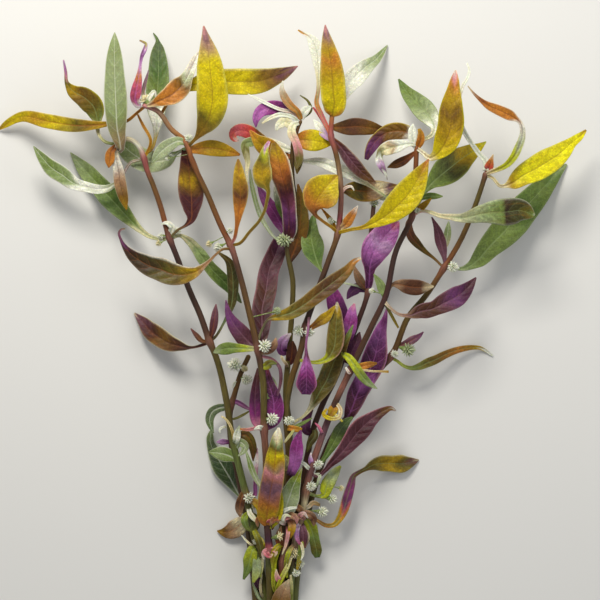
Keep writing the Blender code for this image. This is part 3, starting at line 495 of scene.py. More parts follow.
def leaf_skin_group():
    """Shared leaf skin: midrib, side veins, net veins, a pale margin that is partly painted highlight,
    mottling and lighter flecks of painted highlight over a leaf's own tint.

    Every mask is a smooth step of a distance: from the midrib in mm, from a whole vein number, from
    the edge of a net cell, or from the margin.
    """
    tree = bpy.data.node_groups.new("leaf skin", "ShaderNodeTree")
    for way, labels in (("INPUT", ("Rib Colour", "Rib Strength", "Vein Strength", "Margin Colour",
                                   "Margin Strength", "Flush Colour", "Flush Strength", "Mottle Strength")),
                        ("OUTPUT", ("Color", "Height", "Sheen"))):
        for label in labels:
            kind = "NodeSocketColor" if "Colo" in label else "NodeSocketFloat"
            tree.interface.new_socket(label, in_out=way, socket_type=kind)
    given = tree.nodes.new("NodeGroupInput").outputs
    tint, place = marked(tree, "tint", "Color"), marked(tree, "place")
    along, edge_at, lower = wired(tree, "ShaderNodeSeparateXYZ", {0: marked(tree, "blade")}).outputs
    _, beside, vein = wired(tree, "ShaderNodeSeparateXYZ", {0: place}).outputs
    edge = maths(tree, "ABSOLUTE", edge_at)
    spot = wired(tree, "ShaderNodeTexCoord").outputs["Object"]
    haze = noise(tree, spot, 90.0)
    cloud = noise(tree, spot, 420.0, detail=4.0, roughness=0.65)
    fine = noise(tree, spot, 2600.0)
    grain = noise(tree, spot, 1300.0, roughness=0.7)
    streak = noise(tree, scaled(tree, place, (0.05, 0.9, 0.0)), 1.0)
    mottle = given["Mottle Strength"]

    shaken = maths(tree, "ADD", vein, times(tree, maths(tree, "SUBTRACT", haze, 0.5), 0.5))
    part_way = maths(tree, "FRACT", maths(tree, "ADD", shaken, 0.5))
    off_vein = maths(tree, "ABSOLUTE", maths(tree, "SUBTRACT", part_way, 0.5))
    side_vein = times(tree, fade(tree, off_vein, 0.09, 0.015), fade(tree, edge, 0.97, 0.55, 0.15, 1.0))
    net = wired(tree, "ShaderNodeTexVoronoi", {"Vector": place, "Scale": 0.85, "Randomness": 0.9},
                feature="DISTANCE_TO_EDGE", voronoi_dimensions="2D").outputs["Distance"]
    veins = maths(tree, "MAXIMUM", side_vein, times(tree, fade(tree, net, 0.09, 0.0), 0.55))
    rib_reach = fade(tree, along, 0.0, 1.0, 0.50, 0.12)
    rib = fade(tree, maths(tree, "DIVIDE", maths(tree, "ABSOLUTE", beside), rib_reach), 1.0, 0.45)
    margin = fade(tree, edge, 0.90, 0.985)
    patch = maths(tree, "MAXIMUM", fade(tree, haze, 0.45, 0.70), fade(tree, streak, 0.50, 0.66))

    cloudy = blended(tree, times(tree, fade(tree, cloud, 0.32, 0.68), mottle), tint,
                     filtered(tree, tint, 0.50, 0.46, 0.52))
    flushed = blended(tree, times(tree, patch, given["Flush Strength"]), cloudy, given["Flush Colour"])
    speckled = blended(tree, times(tree, fade(tree, grain, 0.50, 0.36, 0.0, 0.90), mottle), flushed,
                       filtered(tree, flushed, 0.58, 0.54, 0.58))
    # Painted highlight: fine lighter flecks that stand for glints on the rough leaf surface.
    highlight_flecked = blended(tree, fade(tree, grain, 0.54, 0.68, 0.0, 0.60), speckled,
                        filtered(tree, speckled, 1.7, 1.65, 1.6))
    veined = blended(tree, times(tree, veins, given["Vein Strength"]), highlight_flecked, given["Rib Colour"])
    ribbed = blended(tree, times(tree, rib, given["Rib Strength"]), veined, given["Rib Colour"])
    pale = blended(tree, times(tree, lower, 0.30), ribbed,
                   blended(tree, 0.5, ribbed, (0.50, 0.48, 0.34, 1.0)))
    # The margin tint is partly the leaf's pale edge and partly painted highlight along it.
    edged = blended(tree, times(tree, margin, given["Margin Strength"]), pale, given["Margin Colour"])
    rough = maths(tree, "ADD", times(tree, fine, 0.35), times(tree, grain, 0.9))
    relief = maths(tree, "ADD", times(tree, veins, -0.6), rough)
    given_out = tree.nodes.new("NodeGroupOutput").inputs
    sheen = maths(tree, "MAXIMUM", veins, cloud)
    for label, value in (("Color", edged), ("Height", relief), ("Sheen", sheen)):
        tree.links.new(value, given_out[label])
    return tree


LEAF_SKIN = leaf_skin_group()
LEAF_FINISHES = {}
# Each finish: rib tint and strength, vein strength, margin tint and strength (a pale edge that is
# partly painted highlight), flush tint and strength, the mottle strength, and the least and greatest
# roughness
for finish, rib, rib_share, vein_share, margin, margin_share, flush, flush_share, mottle_share, shine in [
    ("gold", "rust", 0.45, 0.14, "yellow", 0.35, "rust", 0.22, 0.55, (0.38, 0.58)),
    ("yellow", "bronze", 0.42, 0.13, "lime", 0.40, "gold", 0.25, 0.55, (0.36, 0.56)),
    ("olive", "sage", 0.35, 0.14, "sage", 0.40, "bronze", 0.30, 0.55, (0.38, 0.60)),
    ("brown", "rust", 0.35, 0.18, "tan", 0.35, "maroon", 0.35, 0.55, (0.36, 0.55)),
    ("sage", "white", 0.35, 0.11, "white", 0.45, "leek", 0.32, 0.40, (0.42, 0.62)),
    ("green", "sage", 0.50, 0.14, "sage", 0.55, "leek", 0.25, 0.55, (0.36, 0.56)),
    ("dark_green", "sage", 0.35, 0.11, "sage", 0.45, "olive", 0.20, 0.55, (0.36, 0.56)),
    ("mauve", "dusk", 0.45, 0.25, "dusk", 0.55, "maroon", 0.30, 0.55, (0.36, 0.55)),
    ("magenta", "orchid", 0.30, 0.26, "orchid", 0.50, "plum", 0.55, 0.55, (0.32, 0.52)),
    ("plum", "dusk", 0.35, 0.22, "dusk", 0.50, "maroon", 0.30, 0.55, (0.36, 0.55)),
    ("cream", "sage", 0.35, 0.16, "white", 0.40, "silver", 0.12, 0.20, (0.42, 0.62)),
    ("orange", "maroon", 0.40, 0.16, "cream", 0.40, "rust", 0.30, 0.50, (0.36, 0.56)),
]:
    material, tree, shader = plant_skin(f"leaf skin {finish}")
    skin = wired(tree, "ShaderNodeGroup", node_tree=LEAF_SKIN)
    for label, name in (("Rib", rib), ("Margin", margin), ("Flush", flush)):
        skin.inputs[f"{label} Colour"].default_value = (*TINTS[name], 1.0)
    for label, share in (("Rib", rib_share), ("Vein", vein_share), ("Margin", margin_share),
                         ("Flush", flush_share), ("Mottle", mottle_share)):
        skin.inputs[f"{label} Strength"].default_value = share
    tree.links.new(skin.outputs["Color"], shader.inputs["Base Color"])
    tree.links.new(fade(tree, skin.outputs["Sheen"], 0.3, 0.8, *shine), shader.inputs["Roughness"])
    raised(tree, shader, skin.outputs["Height"], strength=0.6, distance=0.15 * MM)
    shader.inputs["Subsurface Weight"].default_value = 0.15
    LEAF_FINISHES[finish] = material


def leaf(name, stem, finish, tints, width, base, *points, roll=(0,), fold=(14,), curl=(0,), stalk=0.14,
         wave=LARGE_WAVE, under=False, rim=BARE_RIM):
    """A large leaf from the bark of its stem at base to its tip, in place of the solid leaf_name.

    Widths are in squares of the sheet, from foot to tip. Base is (u, v) and each point (u, v, h). Roll,
    fold and curl are degrees at even stations.
    """
    grown = STEMS[stem]
    path = smooth_path(np.vstack((grown.line[grown.nearest(base)], on_table(points))), PATH_POINTS)
    path = path[grown.clear_of(path, -STALK_SUNK):]
    path = smooth_path(path[:: max(1, len(path) // CLEAR_POINTS)], LEAF_ROWS)
    half_width = half_widths(np.linspace(0.0, 1.0, LEAF_ROWS), width, stalk)
    part = blade(path, half_width, tints, stalk, roll, fold, curl, wave, under, rim)
    piece = add_piece(f"{name}_leaf", [(*part, LEAF_FINISHES[finish])])
    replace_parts(piece, f"leaf_{name}")


# Large leaves of the upper left, on stems a and b
# Lit gold, olive and sage blades that spread to the left, the two lowest arching out over the table.

leaf("sage_upright", "a", "sage",
     "0 brown, 10 bronze, 20 olive, 32 leek, 44 sage, 70 sage, 85 leek, 100 sage",
     (3, 9, 15, 19.5, 22, 23.5, 23.5, 22, 20, 18, 14.5, 9, 1), (117, 146), (121, 150.5, 23.8),
     (120.5, 143, 25.2), (118, 130, 26), (117, 110, 27), (116, 85, 27.6), (115.5, 60, 28),
     (115.5, 33, 26.5), stalk=0.06, under=True)
leaf("gold_far_left", "b", "gold", "orange, bronze, gold, olive, yellow, gold, yellow, gold",
     (3, 2.8, 3, 3.5, 4.5, 7, 10, 13, 14.5, 15, 15, 14.5, 13, 11, 9, 7, 2), (146, 107), (137, 114, 25.5),
     (128, 121, 23.5), (108, 124, 21), (75, 125, 17), (45, 120, 12), (20, 115, 7), (0, 124, 2.4),
     (-6, 128, 0.6), stalk=0.28, rim=("cream", 0.1, 0.5))
leaf("curled_left", "a", "olive",
     "0 leek, 20 cream, 32 leek, 42 olive, 60 bronze, 70 gold, 76 olive, 82 pink, 88 orchid, 100 lilac",
     (3, 3, 3, 6, 17, 22, 20, 13, 4, 3, 1.5), (118, 144), (104, 141, 19.5), (98, 133, 17.4),
     (97, 120, 16.6), (93, 106, 17), (85, 98, 18), (72, 90, 19.4), (67, 83, 20.6), (66, 72, 22),
     (64, 60, 24), stalk=0.28, rim=("yellow", 0.0, 0.8))
leaf("pale_green_left", "a", "sage",
     "0 bronze, 20 dusk, 30 silver, 40 white, 55 white, 62 sage, 80 leek, 100 sage",
     (3, 3, 3, 3, 3.5, 7, 9.5, 10.5, 12, 15, 17, 17, 13, 8, 1), (144, 160), (138, 160, 17),
     (131, 162, 16.6), (126, 168, 16.2), (122, 176, 15.8), (114, 184, 15.6), (107, 188, 15.4),
     (98, 189, 15.2), (85, 186.5, 14.8), (73, 183, 14.2), (62, 175, 13.8), (50, 167, 13.4), (41, 157, 13.8),
     (32, 145, 14.5), stalk=0.3, rim=("white", 0.4, 0.4))
# Its cream foot is partly the pale stalk and partly painted highlight.
leaf("long_green_left", "a", "green", "0 cream, 18 cream, 30 leek, 50 green, 70 leek, 85 sage, 100 silver",
     (3, 3.5, 4.5, 6, 9, 13, 17.5, 21, 22, 20.5, 18.5, 17.5, 14, 8, 1), (169, 237), (157, 238.5, 16),
     (148, 235.5, 13.5), (139, 229, 11.4), (130, 220.5, 9.8), (122, 212, 8.6), (114, 203, 7.6),
     (106, 194.5, 6.6), (96, 183, 5), (85, 171, 3.2), (76, 161, 1.8), (67, 150, 0.4), stalk=0.16,
     rim=("silver", 0.5, 0.3))
leaf("light_green_behind", "b", "sage", "leek, silver, sage, sage", 24, (188, 146), (180, 152, 23),
     (165, 160, 17), (145, 160, 14), (128, 150, 12), (112, 130, 10), (105, 118, 8.4))
leaf("dark_green_upright", "a", "dark_green",
     "0 orange, 12 gold, 20 white, 34 white, 42 sage, 50 leek, 62 green, 85 fern, 100 green",
     (3, 3, 3.5, 8, 15, 20.5, 23, 23.5, 22, 20, 17, 12, 4, 1), (144, 157), (152, 148, 18), (155, 138, 17),
     (156.5, 125, 16), (156, 105, 14), (157, 85, 11.6), (157.5, 70, 9.6), (157, 55, 7), (156.5, 42, 3.6),
     (155, 35, 1.5), (151, 29, 0.3), stalk=0.18, rim=("sage", 0.5, 0.5))
leaf("pink_bud", "b", "magenta",
     "0 white, 10 rose, 30 rose, 42 orange, 56 lilac, 70 violet, 80 lilac, 88 lime, 100 yellow",
     (5, 8, 11, 10, 7.5, 4.5, 3, 3.5, 4.5, 3, 1.5), (143, 106), (139, 106.5, 30.2), (136.5, 102, 30.6),
     (137.5, 92, 31), (139.5, 82, 31), (141, 70, 30.8), (143, 58, 30.4), (146.5, 49, 30), (147, 45.5, 29.8),
     (144, 43.5, 29.6), (140.5, 42, 29.4), stalk=0.05)
leaf("twisted_orange", "b", "orange",
     "0 cream, 12 orange, 38 orange, 50 bronze, 60 silver, 72 white, 100 white",
     (3, 8, 16, 22, 21, 13, 9.5, 7.5, 1), (147, 107), (151, 106.3, 30.8), (158, 103.5, 32.2),
     (165, 100.5, 32.8), (172, 97, 32.6), (178, 92, 31.8), (184, 85, 30.6), (189, 76, 29.6),
     (193, 67, 28.6), (197, 58, 27.4), (200, 52, 26.4), stalk=0.04, rim=("cream", 0.5, 0.5))
leaf("yellow_upright_left", "b", "yellow",
     "0 brown, 12 bronze, 24 olive, 38 yellow, 70 yellow, 80 tan, 90 dusk, 100 pink",
     (3.5, 3.5, 10, 20, 27, 31, 32, 30.5, 28.5, 26, 21, 14.5, 7.5, 1.5), (188, 146), (192, 144, 28.8),
     (197, 139, 30), (203, 131, 31.6), (210, 119, 33.6), (213, 105, 35), (213, 90, 36.2), (211.5, 75, 36.9),
     (209.5, 57, 37.2), (207, 42, 36.6), (204.5, 28, 35), stalk=0.1, rim=("cream", 0.3, 0.2))
leaf("yellow_level", "b", "yellow",
     "0 rust, 10 gold, 25 yellow, 60 yellow, 72 bronze, 86 mauve, 95 dusk, 100 pink",
     (3, 3, 3.5, 6, 12, 18, 22, 25, 26.5, 27, 26.5, 24, 19, 14, 8, 1), (160, 115), (172, 99, 26),
     (188, 88, 25), (210, 82, 24), (235, 82, 22), (258, 81, 19), (280, 74, 15), (299, 64, 10), stalk=0.2,
     rim=("cream", 0.7, 0.1))
leaf("golden_brown", "b", "gold", "0 pink, 12 rust, 40 orange, 56 brown, 80 gold, 100 bronze",
     (3, 3.5, 4, 7, 11.5, 15, 16, 13, 9, 2), (231, 246), (235, 238, 27.6), (237, 228, 28.6),
     (239.5, 210, 29.8), (241, 192, 30.6), (239.5, 175, 30.6), (238.5, 159, 29.6), stalk=0.25,
     rim=("cream", 0.1, 0.3))
leaf("maroon_band", "a", "brown",
     "0 sage, 12 fern, 22 maroon, 48 maroon, 57 bronze, 66 gold, 74 bronze, 84 maroon, 100 brown",
     (3, 2.6, 3, 9, 18, 24.5, 26, 23.5, 19, 13.5, 5), (169, 237), (179, 229.5, 22.4), (186, 225.5, 22.8),
     (191, 220, 23), (192, 208, 22.8), (191.5, 195, 22.4), (190, 180, 22.8), (188.5, 165, 23.6),
     (186.5, 155, 24.4), (184.5, 148, 25), stalk=0.2, rim=("dusk", 0.5, 0.3))
leaf("maroon_crescent", "b", "brown",
     "0 olive, 20 tan, 28 gold, 42 olive, 60 moss, 78 umber, 86 violet, 94 dusk, 100 sage",
     (3, 2.4, 2.4, 3, 5, 9, 14, 19, 22.5, 24, 23.5, 21.5, 19, 15, 10.5, 6, 3, 2.4, 1.5), (230, 248),
     (222, 250, 27.2), (217, 254, 27.8), (210, 261, 28.2), (203, 267, 28), (196, 272, 27.6),
     (188, 274.5, 27), (180, 275, 26.6), (171, 273.5, 26.4), (161, 269.5, 26), (150, 266, 26),
     (141, 261, 26), (132, 254.5, 26.6), (126, 247.5, 27.2), (121.5, 239, 28), (120, 233, 28.6),
     (122, 230, 29), (127, 229, 29), stalk=0.2, rim=("white", 0.15, 0.95))
leaf("light_green_low", "a", "green", "0 cream, 12 cream, 30 sage, 50 leek, 75 green, 100 sage",
     (4, 4, 8, 10.5, 13, 12.5, 14, 14, 11, 8, 1.5), (169, 237), (180, 235.5, 16.4), (189, 241, 15.6),
     (197, 250, 15.2), (204, 260, 14.6), (213, 271, 13.8), (223, 281, 12.8), (232, 291, 11), (241, 303, 9),
     stalk=0.08, rim=("silver", 0.2, 0.7))
leaf("orange_left", "a", "orange",
     "0 maroon, 20 umber, 36 brown, 55 bronze, 66 brown, 80 mauve, 93 dusk, 100 cream",
     (4, 3, 3, 9, 15, 18.5, 19.5, 19, 15, 9, 1.5), (210, 343), (202, 345, 15.4), (192, 347.5, 13.6),
     (185.5, 347.5, 12.4), (178.5, 346, 11), (167.5, 343, 8.6), (156, 336, 6), (148, 330, 4),
     (142.5, 323.5, 2.4), (137, 318, 1.2), (131.5, 312.5, 0.4), stalk=0.2, rim=("cream", 0.1, 0.9))
leaf("olive_behind", "a", "olive", "0 tan, 20 fern, 40 moss, 70 moss, 100 bronze",
     (3, 2.5, 2.5, 5, 9, 11, 12, 10, 5, 1), (210, 341), (215, 337, 15.4), (223, 324, 15.8),
     (231, 306, 16.8), (233, 285, 17.6), (229, 262, 18.4), (215, 250, 18.6), stalk=0.2)
leaf("dusty_mauve", "b", "mauve", "0 brown, 12 maroon, 30 maroon, 50 brown, 62 mauve, 80 maroon, 100 plum",
     (4, 11, 17, 20, 21, 21.5, 21.5, 20.5, 20, 18.5, 15), (259, 350), (262, 338, 22), (262, 325, 19.4),
     (262, 310, 17.2), (266, 290, 13.6), (269, 270, 11), (275, 255, 8.8), (281, 239, 7), stalk=0.06,
     rim=("pink", 0.35, 0.2))

# Large leaves of the upper middle, on stems b, c and d
# The brightest part: gold, white and orange blades that stand up round the middle shoot tips.

leaf("yellow_green_centre", "b", "yellow",
     "0 bronze, 52 olive, 62 olive, 70 gold, 78 olive, 88 lime, 93 lilac, 100 pink",
     (3, 3, 3, 3, 3, 3, 3.2, 5, 18, 19.5, 13, 7, 2.5), (231, 246), (239, 244, 26.4), (250, 232, 27.6),
     (259, 222, 28.6), (264.5, 212, 29), (267, 202, 29.4), (268.5, 192, 29.8), (264, 182, 30),
     (262.5, 170, 30), (264, 160, 29.8), (265.5, 150, 29.2), (269.5, 142, 28.6), stalk=0.55,
     rim=("white", 0.2, 0.4))
leaf("orange_magenta", "c", "orange",
     "0 purple, 12 plum, 30 violet, 40 plum, 48 maroon, 56 brown, 64 rust, 76 orange, 88 gold, "
     "100 bronze", (9, 14, 15, 15, 16, 18, 20, 22, 21, 15, 5), (288, 240), (290, 230, 18.6),
     (289.5, 215, 20.6), (288, 200, 22.4), (285, 187, 23.6), (281, 172, 24.6), (278, 158, 25),
     (274, 143, 24.6), stalk=0.04, rim=("white", 0.1, 0.9))
leaf("white_olive", "c", "cream", "0 white, 30 cream, 45 sage, 60 olive, 80 cream, 100 white",
     (6, 9, 10, 9.5, 10, 9.5, 7.5, 5, 3, 1.5), (262, 147), (252, 142, 23.6), (246, 144.5, 24.4),
     (246.5, 155, 24.8), (248, 163, 24.4), (247, 172, 24.2), (248, 183, 24), stalk=0.2)
leaf("green_behind_middle", "d", "green", "0 leek, 30 green, 60 leek, 100 green",
     (3, 4, 10, 17, 22, 23, 21, 17, 13, 8, 4), (324, 273), (320, 268, 20.6), (316, 258, 19),
     (313, 247, 17.8), (311, 236, 16), (312, 225, 14.4), (314, 215, 13), stalk=0.08, rim=("sage", 0.7, 0.3))
leaf("golden_centre", "d", "gold", "0 gold, 30 bronze, 40 brown, 50 orange, 66 gold, 82 yellow, 100 gold",
     (3, 3, 3, 3, 5, 20, 33, 37, 31, 17, 2), (338, 232), (332, 228, 26.4), (322, 221, 28.4),
     (314.5, 214, 29.4), (314, 207, 30), (317, 200, 30.5), (322, 193, 30.8), (329, 184.5, 30.6),
     (338, 175.5, 29.8), stalk=0.4, rim=("cream", 0.3, 0.2))
leaf("white_upright", "d", "cream",
     "0 red, 12 rose, 25 orange, 35 tan, 45 cream, 58 white, 88 white, 94 orange, 100 gold",
     (4, 4.5, 5, 5, 4.5, 4, 5, 8, 12, 14, 11, 4, 1.5), (331, 137), (327, 128, 27.2), (321, 115, 27),
     (316.5, 104, 27), (318, 92, 27.4), (318.5, 78, 27.6), (318, 64, 27.8), (316.5, 52, 28),
     (313, 43, 28.2), (307, 36.5, 28.4), (302, 34, 28.7), (297, 31, 29), stalk=0.4)
leaf("orange_yellow_upright", "d", "yellow",
     "0 orange, 8 yellow, 25 yellow, 45 gold, 60 orange, 70 gold, 86 dusk, 100 pink",
     (4, 21, 25, 25.5, 25.5, 24, 21, 17, 12.5, 7, 1), (332, 118), (333, 113, 30), (334, 107, 31),
     (333, 95, 32.4), (332, 80, 33.2), (330.5, 65, 33.6), (328, 50, 33.6), (326, 37, 32.8), (325, 27, 32),
     stalk=0.04, rim=("cream", 0.4, 0.3))
leaf("white_green_top", "d", "sage", "0 white, 50 white, 66 silver, 82 sage, 100 sage",
     (3.5, 5, 11, 18, 20.5, 18, 13.5, 10, 6, 1), (332, 117), (337, 109, 25.2), (343, 96, 22.6),
     (350, 83, 19.8), (357, 75, 16.6), (366, 66, 13), (377, 57, 7), (389, 41.5, 0.3), stalk=0.1,
     rim=("white", 0.5, 0.5))
leaf("white_arch", "c", "cream", "0 white, 60 white, 75 cream, 100 sage", (3, 4, 8, 11, 12, 11, 8, 4, 3, 2),
     (292, 160), (303, 161, 18.8), (320, 162, 19), (338, 169, 19.6), (355, 177, 20.2), (372, 187, 19.4),
     (388, 198, 18.4))
leaf("mauve_pale_margin", "d", "mauve", "0 rust, 20 maroon, 45 mauve, 70 brown, 100 bronze",
     (4, 8, 12, 14, 13, 9, 1), (332, 138), (340, 147, 25), (350, 160, 25), (363, 174, 23.6),
     (376, 183, 22.4), rim=("cream", 0.8, 0.2))
leaf("dark_brown_behind", "d", "brown",
     "0 umber, 20 olive, 38 moss, 48 bronze, 58 tan, 74 cream, 86 dusk, 100 gold",
     (5, 14, 20, 22, 20, 13, 2), (341, 190), (352, 190, 19.4), (365, 191, 16.6), (385, 188, 15.6),
     (398, 185, 15.6), rim=("gold", 0.5, 0.6))

# Large leaves of the upper right, on stems d, e and g
# Bright gold blades in front, with broad green ones behind them that reach down to the table.

leaf("big_yellow_front", "d", "yellow",
     "0 gold, 20 gold, 35 yellow, 75 yellow, 88 gold, 96 orange, 100 pink",
     (3.5, 3.5, 3.5, 5, 11, 17, 24, 28.5, 29.5, 26.5, 20, 11, 1), (338, 232), (342, 232, 27),
     (350, 230, 28.6), (362, 228, 30.6), (375, 222.5, 32.4), (385, 216.5, 33.8), (395, 208, 35),
     (403, 200, 35.8), (410, 191, 36.4), (416, 181, 36.8), (421.5, 171, 37), (427.5, 160, 37), stalk=0.25,
     rim=("cream", 0.3, 0.1))
leaf("arching_brown", "e", "brown",
     "0 white, 14 white, 24 bronze, 50 bronze, 62 mauve, 78 violet, 100 purple",
     (4, 8, 14, 17, 17, 15, 13, 12, 9, 4), (416, 149), (412, 136, 28.4), (400, 132, 27.6), (388, 133, 26.6),
     (376, 141, 25.4), (369, 152, 24.8), (366, 160, 24.4), stalk=0.08, rim=("yellow", 0.0, 0.7))
leaf("white_violet_tip", "e", "cream",
     "0 white, 25 white, 35 tan, 44 cream, 54 olive, 62 white, 72 lilac, 80 violet, 90 white, "
     "100 violet", (4, 5, 9, 13, 14, 12, 7, 8.5, 7, 4, 1), (416, 147), (408, 145, 32), (398, 147, 32.4),
     (388, 149.5, 32), (380.5, 153, 31.4), (378.5, 160, 30.8), (381.5, 168, 30), (385, 175, 29.4),
     (387, 181, 28.8), stalk=0.1, rim=("olive", 0.6, 0.0))
leaf("green_top_right", "e", "green", "0 pink, 10 cream, 30 white, 42 silver, 60 sage, 80 leek, 100 green",
     (4, 4, 5, 13, 21, 22, 19, 15, 9, 1.5), (416, 148), (424, 140, 27.4), (431, 136, 26.4), (434, 129, 25),
     (431, 120, 22.8), (425, 111, 19.6), (417, 102, 16), (408, 92, 12.6), (399, 77, 9), stalk=0.16,
     rim=("sage", 0.5, 0.5))
leaf("yellow_orange_right", "e", "yellow",
     "0 white, 12 cream, 20 yellow, 40 gold, 60 bronze, 72 gold, 85 orange, 92 pink, 100 white",
     (4, 4.5, 8, 18, 25, 26.5, 26.5, 24.5, 20, 14, 9, 1.5), (416, 149), (422, 154, 32), (429, 159, 33.4),
     (435, 156, 34.6), (441, 149, 35.4), (446, 139, 36.4), (449, 127, 37), (449.5, 113, 37.6),
     (451, 98, 37.8), (452.5, 85, 37.4), (454, 72, 36.4), stalk=0.1, rim=("yellow", 0.4, 0.8))
leaf("white_long", "g", "cream", "white, white, white, cream, white, white",
     (7, 6, 5, 4.5, 5, 5, 5, 4.5, 3.5, 3, 2), (485, 174), (485, 162, 25.6), (478, 154, 26.4),
     (470, 143, 27.4), (462, 130, 28), (457, 112, 28.6), (459, 95, 28.6), (462, 87, 28.4), (467, 78, 28),
     (468.5, 72, 27.6), (466, 64, 27))
leaf("ribbon", "g", "orange",
     "0 cream, 10 lime, 24 lime, 34 silver, 48 white, 56 orange, 75 orange, 86 rust, 100 cream",
     (4, 5, 6, 8, 8.5, 7.5, 5.5, 4.5, 11, 11, 9, 5, 2.5, 1), (486, 174), (490, 172.5, 26), (497, 170, 27),
     (505, 166, 28), (512, 158.5, 28.6), (517, 148.5, 29), (520.5, 139, 29.4), (521, 130, 29.8),
     (518.5, 123.5, 30.2), (512, 118.5, 30.5), (504, 114.5, 30.8), (495, 110.5, 31), (487, 107, 31.3),
     (480, 102, 31.5), (473, 95.5, 31.6), (466, 87, 31.6), stalk=0.06, rim=("white", 0.1, 0.8))
leaf("broad_green_yellow", "e", "green",
     "0 cream, 10 leek, 35 leek, 50 moss, 60 olive, 68 gold, 90 yellow, 100 lime",
     (3, 3, 3.5, 10, 21, 28, 30, 28, 22, 16, 8, 1), (412, 214), (418, 204, 27), (424, 193, 26),
     (431, 184, 25), (440, 176, 23.6), (450, 168, 22), (460, 160, 20.2), (470, 153, 18), (479, 147, 16),
     (487, 141, 14), stalk=0.24, rim=("lime", 0.1, 0.4))
leaf("cupped_end", "e", "olive",
     "0 pink, 10 cream, 25 cream, 40 silver, 60 sage, 71 leek, 73.5 umber, 79 moss, 86 moss, 92 olive, "
     "97 leek, 100 white", (3, 3, 4, 5, 7, 10, 15, 19, 24, 27, 26, 19, 4), (412, 215), (421, 211.5, 29.6),
     (430, 213, 30), (438, 216, 30.4), (450, 217.5, 30.6), (460, 218.5, 30.4), (470, 217, 30),
     (480, 214.5, 29.6), (490, 213, 29), (505, 212.5, 28.4), (520, 211, 27.8), (534, 216.5, 27),
     fold=(10, 10, 14, 30), curl=(0, 0, -25, -40), stalk=0.3, rim=("white", 0.35, 0.3))
leaf("bright_yellow_right", "g", "yellow",
     "0 cream, 14 cream, 20 gold, 34 lemon, 90 lemon, 97 gold, 100 pink",
     (3, 3, 4, 15.5, 21, 25, 26.7, 26, 22.5, 17.5, 11, 8, 2), (486, 175), (492, 178.5, 24.6),
     (500, 186.5, 24.8), (510, 184, 24.6), (523.5, 175, 24), (535, 169, 23), (545, 163, 22),
     (554, 157.5, 20.8), (563, 150.5, 19.6), (572.5, 142, 17.8), (581, 135.5, 16.2), (587.5, 129, 15),
     stalk=0.16, rim=("cream", 0.3, 0.1))
leaf("big_green_right", "g", "green",
     "0 silver, 10 sage, 20 leek, 45 leek, 60 green, 78 leek, 86 green, 94 sage, 100 silver",
     (3, 3, 8, 18, 23, 28, 32, 34, 31, 28, 24, 18, 12, 2), (444, 268), (455, 268.5, 15.6),
     (463, 268.5, 14.4), (471, 265.5, 13), (478, 260.5, 12), (491, 246, 10), (505, 232, 8.4),
     (518, 217, 6.8), (530, 204, 5.2), (541, 192, 3.8), (551, 181, 2.4), (561, 170, 1.2), (571, 162, 0.3),
     stalk=0.12, rim=("sage", 0.5, 0.5))

# Large leaves of the middle and foot, on stems b, d, e, f, g and b2
# Darker olive, magenta and plum blades between the stems, their dark tints partly painted shade, some
# hanging and some rolled.

leaf("brown_purple", "e", "mauve",
     "0 cream, 20 tan, 30 brown, 50 brown, 58 mauve, 70 violet, 80 plum, 90 maroon, 100 mauve",
     (4, 3, 3, 4.5, 12, 16, 15.5, 19, 21, 21, 15.5, 9, 1.5), (384, 300), (390, 308, 26.2), (398, 314, 26.4),
     (408, 315.5, 26.4), (420, 311.5, 26), (432, 309, 25.4), (443, 303.5, 24.6), (454, 298, 23.6),
     (463, 292, 22.8), (470, 285, 21.8), (476, 277.5, 21), stalk=0.24, rim=("dusk", 0.6, 0.2))
leaf("arched_low_right", "g", "olive",
     "0 lime, 20 leek, 32 olive, 45 bronze, 65 orange, 82 gold, 90 white, 100 white",
     (3, 3, 4, 7.5, 9.5, 9, 8, 7, 6, 4.5, 3.2, 1.5), (391, 357), (398, 361.5, 12), (404, 366, 11.4),
     (412, 368.5, 10.4), (420, 367, 9.4), (428, 363.5, 8), (437, 360, 6.6), (446, 355.5, 5.2),
     (456, 351.5, 3.8), (466, 349, 2.6), (475, 348, 1.8), (482, 348.5, 1.2), (489, 352, 0.6),
     (495.5, 357, 0.3), stalk=0.2, rim=("gold", 0.7, 0.1))
leaf("pink_violet", "f", "magenta",
     "0 plum, 24 plum, 34 violet, 46 orchid, 62 lilac, 72 orchid, 84 orchid, 92 rose, 100 pink",
     (6, 8, 9, 12, 20, 25.5, 29, 29, 27, 22, 14, 1.5), (368, 291), (369.5, 280, 16.4), (370, 268, 17.8),
     (372, 258, 18.2), (376, 248, 18.2), (382, 240, 18), (390, 231, 17.6), (400, 221, 16.6), stalk=0.15,
     rim=("pink", 0.4, 0.2))
leaf("big_magenta", "g", "magenta",
     "0 maroon, 14 mauve, 26 plum, 36 orchid, 46 plum, 60 plum, 70 violet, 80 orchid, 92 magenta, "
     "100 lilac", (4, 12, 17, 20, 20.5, 21.5, 24, 25, 22.5, 17, 11.5, 6, 1.5), (345, 421), (350, 414, 12.6),
     (354, 404, 14), (358, 393, 15.2), (364, 382, 16.2), (370, 370, 17), (375, 357, 17.4), (378, 343, 17.6),
     (381, 330, 17.6), (385, 318, 17.6), (387, 308, 17.6), stalk=0.05, rim=("tan", 0.1, 0.9))
leaf("long_brown_olive", "b", "olive",
     "0 maroon, 16 mauve, 20 gold, 34 olive, 50 bronze, 66 brown, 82 bronze, 93 orange, 100 white",
     (2.5, 2, 2.5, 7, 12, 14.5, 15, 16, 17, 17, 15, 11.5, 7, 2.5), (257, 345), (262, 330, 24.6),
     (268, 320, 26.4), (278, 316.5, 27.2), (290, 313, 27), (303, 305.5, 26.8), (318, 294, 26.6),
     (333, 282.5, 26), (347, 270.5, 25.2), (355, 261, 24.4), (361, 258, 24), stalk=0.2,
     rim=("tan", 0.7, 0.1))
